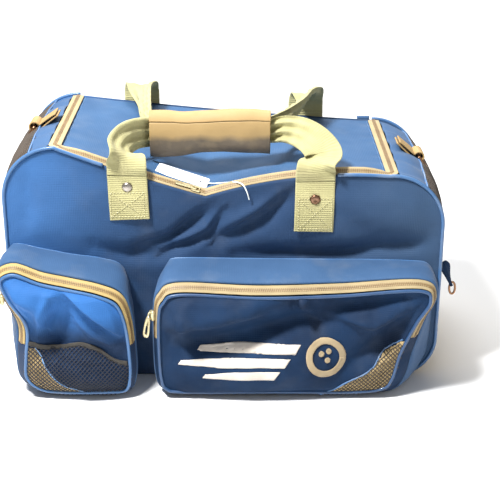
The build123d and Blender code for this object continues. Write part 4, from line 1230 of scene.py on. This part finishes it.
# ---------------------------------------------------------------- hardware
def pull_tab(name, start, stop, face, width, thick, material):
    """A flat pull with a slot near its end, between two points, with its broad side towards face."""
    start, stop = np.asarray(start, float), np.asarray(stop, float)
    along = stop - start
    size = np.linalg.norm(along)
    along /= size
    face = unit(np.asarray([face], float))[0]
    face = face - along * np.dot(face, along)
    face /= np.linalg.norm(face)
    side = np.cross(along, face)
    n = 44
    outer, inner = [], []
    for k in range(n):
        a = ROUND * k / n
        c, d = math.cos(a), math.sin(a)
        u = size / 2 + (size / 2) * math.copysign(abs(c) ** 0.55, c)
        half = width / 2 * (0.62 + 0.38 * u / size)
        outer.append((u, half * math.copysign(abs(d) ** 0.7, d)))
        inner.append((size * 0.66 + size * 0.22 * math.copysign(abs(c) ** 0.7, c),
                      width * 0.17 * math.copysign(abs(d) ** 0.8, d)))
    mid = [((a[0] * 0.88 + size / 2 * 0.12), a[1] * 0.84) for a in outer]
    pts = []
    for h, ring in ((thick / 2 - 0.3, outer), (thick / 2, mid), (thick / 2, inner), (-thick / 2, inner),
                    (-thick / 2, mid), (-thick / 2 + 0.3, outer)):
        pts += [start + along * u + side * v + face * h for u, v in ring]
    faces = []
    for r in range(6):
        a, b = r * n, ((r + 1) % 6) * n
        for k in range(n):
            j = (k + 1) % n
            faces.append((a + k, b + k, b + j, a + j))
    return raw(name, pts, faces, material)


def lump(name, centre, x, y, z, size, material, power=0.6):
    """A rounded slider body with a waist across its back."""
    x, y, z = (unit(np.asarray([v], float))[0] for v in (x, y, z))
    pts, faces = [], []
    n, m = 32, 16
    for i in range(m + 1):
        b = math.pi * (i / m - 0.5)
        for k in range(n):
            a = ROUND * k / n
            c, d, e, f = math.cos(b), math.sin(b), math.cos(a), math.sin(a)
            px = math.copysign(abs(c) ** power * abs(e) ** power, e) * size[0] / 2
            py = math.copysign(abs(c) ** power * abs(f) ** power, f) * size[1] / 2
            pz = math.copysign(abs(d) ** power, d) * size[2] / 2
            py *= 0.78 + 0.3 * abs(px) / (size[0] / 2)
            pts.append(np.asarray(centre) + x * px + y * py + z * pz)
    for i in range(m):
        for k in range(n):
            j = (k + 1) % n
            faces.append((i * n + k, i * n + j, (i + 1) * n + j, (i + 1) * n + k))
    return raw(name, pts, faces, material)


for word, sx, sz in (("right", -83.6, 104.0), ("left", -253.0, 124.0)):
    out = np.array((-0.86, -0.5, 0.0))
    centre = np.array((sx + 1.2, -167.6, sz))
    piece = lump(f"{word}_slider_body", centre, (0, 0, 1), (0.5, -0.86, 0), out, (12.5, 9.5, 5.2), gold)
    show(piece, f"{word}_zip_slider", "slider_metal", f"{word}_pocket_slider")
    hoop = [centre + out * h + np.array((0, 0, 1)) * v for h,
            v in ((2.0, 4.6), (4.2, 3.6), (4.9, 0.6), (4.2, -2.6), (2.0, -4.4))]
    show(tube(f"{word}_slider_hoop", path(hoop, 0.6), 0.85, gold, hint=(0, 1, 0)), f"{word}_zip_slider",
         "slider_metal")
    start = centre + out * 4.4 + np.array((0, 0, 2.6))
    stop = start + np.array((-4.2, -3.6, -28.0))
    piece = pull_tab(f"{word}_pull_plate", 0.91 * start + 0.09 * stop, stop, (-0.55, -0.83, 0.12), 9.5, 1.5,
                     gold)
    show(piece, f"{word}_zip_pull", "slider_metal", f"{word}_pocket_pull")

# pull at the right end: a doubled strip of cloth with a metal tip
strip = path([(255.5, -104, 142), (259.5, -104.6, 137), (263, -104.4, 129), (266, -103.8, 121),
              (268.6, -103.4, 114)],
             0.8)
rows = []
for i, p in enumerate(strip):
    s_ = i / (len(strip) - 1)
    a = 0.5 + 1.2 * s_
    d = np.array((math.cos(a), math.sin(a), 0.2))
    rows.append([p + d * u * (5.6 + 1.8 * math.sin(s_ * 5)) + np.array((0.9, 0.2,
        0.4)) * 0.8 * math.cos(u * 7) for u in np.linspace(-1, 1, 14)])
# the strip's blue is the right pocket's painted shade
show(slab("side_pull_strip", np.array(rows), 2.6, right_shaded_blue), "side_puller", "body_nylon", "side_pull")
ring = [(269.4 + 3.4 * math.sin(a), -103.4 + 0.8 * math.cos(a),
         109.0 + 7.2 * math.cos(a)) for a in np.linspace(0,
    ROUND, 40, endpoint=False)]
show(tube("side_pull_ring", np.array(ring), 1.35, copper, closed=True, hint=(0, 1, 0)), "side_puller",
     "ring_brass")

# strap tabs: a flat end stitched to the shoulder, rolled round its ring
for side, word in SIDES:
    r = SHOULDER + 7.4
    deg = math.radians({-1: 36.0, 1: 42.0}[side])
    cx, cz = side * (ARC + r * math.sin(deg)), TOPS[side] - SHOULDER + r * math.cos(deg)
    nx, nz = side * math.sin(deg), math.cos(deg)
    tx, tz = -side * math.cos(deg), math.sin(deg)
    profile = [(32, -4.3), (24, -4.6), (15, -4.8), (8, -5.2), (2, -5.4)]
    turn = [(5.2 * math.cos(a), 5.2 * math.sin(a)) for a in np.linspace(-1.45, 3.6, 22)]
    upper = [(7, -2.2), (15, -2.2), (24, -2.4), (31, -2.8)]
    line = [(cx + tx * t + nx * h, cz + tz * t + nz * h) for t,
            h in profile + [(-a, b) for a, b in turn] + upper]
    line = resample(np.array(line), 1.1)
    rows = []
    for x, z in line:
        rows.append([(x, y, z + 0.35 * rough_noise((x, y, z), 9.0, 6.0)) for y in np.linspace(-12.5, 12.5,
            22) * side])
    show(slab(f"{word}_tab_leather", np.array(rows), 1.7, hide_top), BAG, "grip_leather", f"{word}_strap_tab")
    parts = []
    runs = [[(t, y) for t in np.linspace(8, 29, 20)] for y in (-10.2, 10.2)]
    runs += [[(t, y) for y in np.linspace(-10, 10, 20)] for t in (9, 28)]
    for run in runs:
        parts += stitches([(cx + tx * t - nx * 1.9, y, cz + tz * t - nz * 1.9) for t, y in run],
                          (nx, 0, nz), *FINE,
                          0.2)
    show(gather(f"{word}_tab_stitching", parts, thread), BAG, "grip_leather")

# ---------------------------------------------------------------- CAD pieces that keep their shape
keep = {
    "main_slider": gold, "main_pull": gold, "left_d_ring": copper, "right_d_ring": copper,
    "rivet_washers": steel,
    "base_board": board, "ball_cups": foam, "centre_divider": foam, "hang_tag": card,
}
for node, material in keep.items():
    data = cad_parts[node].data
    data.materials.clear()
    data.materials.append(material)

# string on the tag
string_line = path([(-28.3, -89.6, 236.4), (-14, -96, 237.6), (0, -99.5, 239.8), (12, -107, 243),
                    (20, -116, 243.8),
                    (25, -120.5, 237),
                    (28, -119.6, 226.5)], 0.8)
curve = bpy.data.curves.new("tag_twine", "CURVE")
curve.dimensions = "3D"
spline = curve.splines.new("POLY")
spline.points.add(len(string_line) - 1)
for p, q in zip(spline.points, string_line):
    p.co = (q[0] * MM, q[1] * MM, q[2] * MM, 1)
curve.bevel_depth = 0.7 * MM
curve.bevel_resolution = 3
string = bpy.data.objects.new("tag_twine", curve)
bpy.context.scene.collection.objects.link(string)
curve.materials.append(twine)
show(string, "lid", "string", "tag_string")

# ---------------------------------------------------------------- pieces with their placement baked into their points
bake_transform(lid)
for piece, x, foot in zip(back_straps, (-110, 103), (281.5, 263.5)):
    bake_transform(piece)
for piece, side in zip(front_straps, (-1, 1)):
    x, low, high, rivet = LEGS[side]
    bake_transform(piece)

# ---------------------------------------------------------------- stage, lights, camera
floor = raw("floor", [(-6000, -6000, -0.6), (6000, -6000, -0.6), (6000, 6000, -0.6), (-6000, 6000, -0.6)],
            [(0, 1, 2, 3)],
            shader("pale floor", (0.86, 0.86, 0.86), (0.88, 0.88, 0.88), rough=0.9, spread=2.0), smooth=False)
world = bpy.data.worlds.new("studio")
bpy.context.scene.world = world
world.use_nodes = True
world.node_tree.nodes["Background"].inputs[0].default_value = (1, 1, 1, 1)
world.node_tree.nodes["Background"].inputs[1].default_value = 0.32


def lamp(name, place, target, size, power):
    light = bpy.data.lights.new(name, "AREA")
    light.energy = power
    light.size = size
    piece = bpy.data.objects.new(name, light)
    piece.location = Vector(place)
    piece.rotation_euler = (Vector(target) - Vector(place)).to_track_quat("-Z", "Y").to_euler()
    bpy.context.scene.collection.objects.link(piece)


lamp("key", (-0.55, -0.6, 1.5), (-0.05, 0, 0.12), 0.25, 53)
lamp("top", (-0.1, 0.7, 1.8), (0, 0, 0.2), 0.9, 20)
lamp("fill", (1.3, -1.5, 0.8), (0, 0, 0.15), 1.6, 3)
lamp("backdrop", (0, 3.6, 2.4), (0, 3.0, 0), 3.0, 90)

pitch, yaw, tilt = (math.radians(a) for a in (22.63, 0.42, 0.15))
forward = Vector((math.sin(yaw) * math.cos(pitch), math.cos(yaw) * math.cos(pitch), -math.sin(pitch)))
level = Vector((math.cos(yaw), -math.sin(yaw), 0))
above = level.cross(forward)
right = level * math.cos(tilt) + above * math.sin(tilt)
above = above * math.cos(tilt) - level * math.sin(tilt)
camera = bpy.data.objects.new("camera", bpy.data.cameras.new("camera"))
camera.matrix_world = Matrix(((right.x, above.x, -forward.x, 0.0199), (right.y, above.y, -forward.y, -1.3711),
                              (right.z, above.z, -forward.z, 0.6862), (0, 0, 0, 1)))
camera.data.sensor_width = 36.0
camera.data.lens = 1173.07 / 500.0 * 36.0
bpy.context.scene.collection.objects.link(camera)
bpy.context.scene.camera = camera
bpy.context.scene.view_settings.view_transform = "Standard"
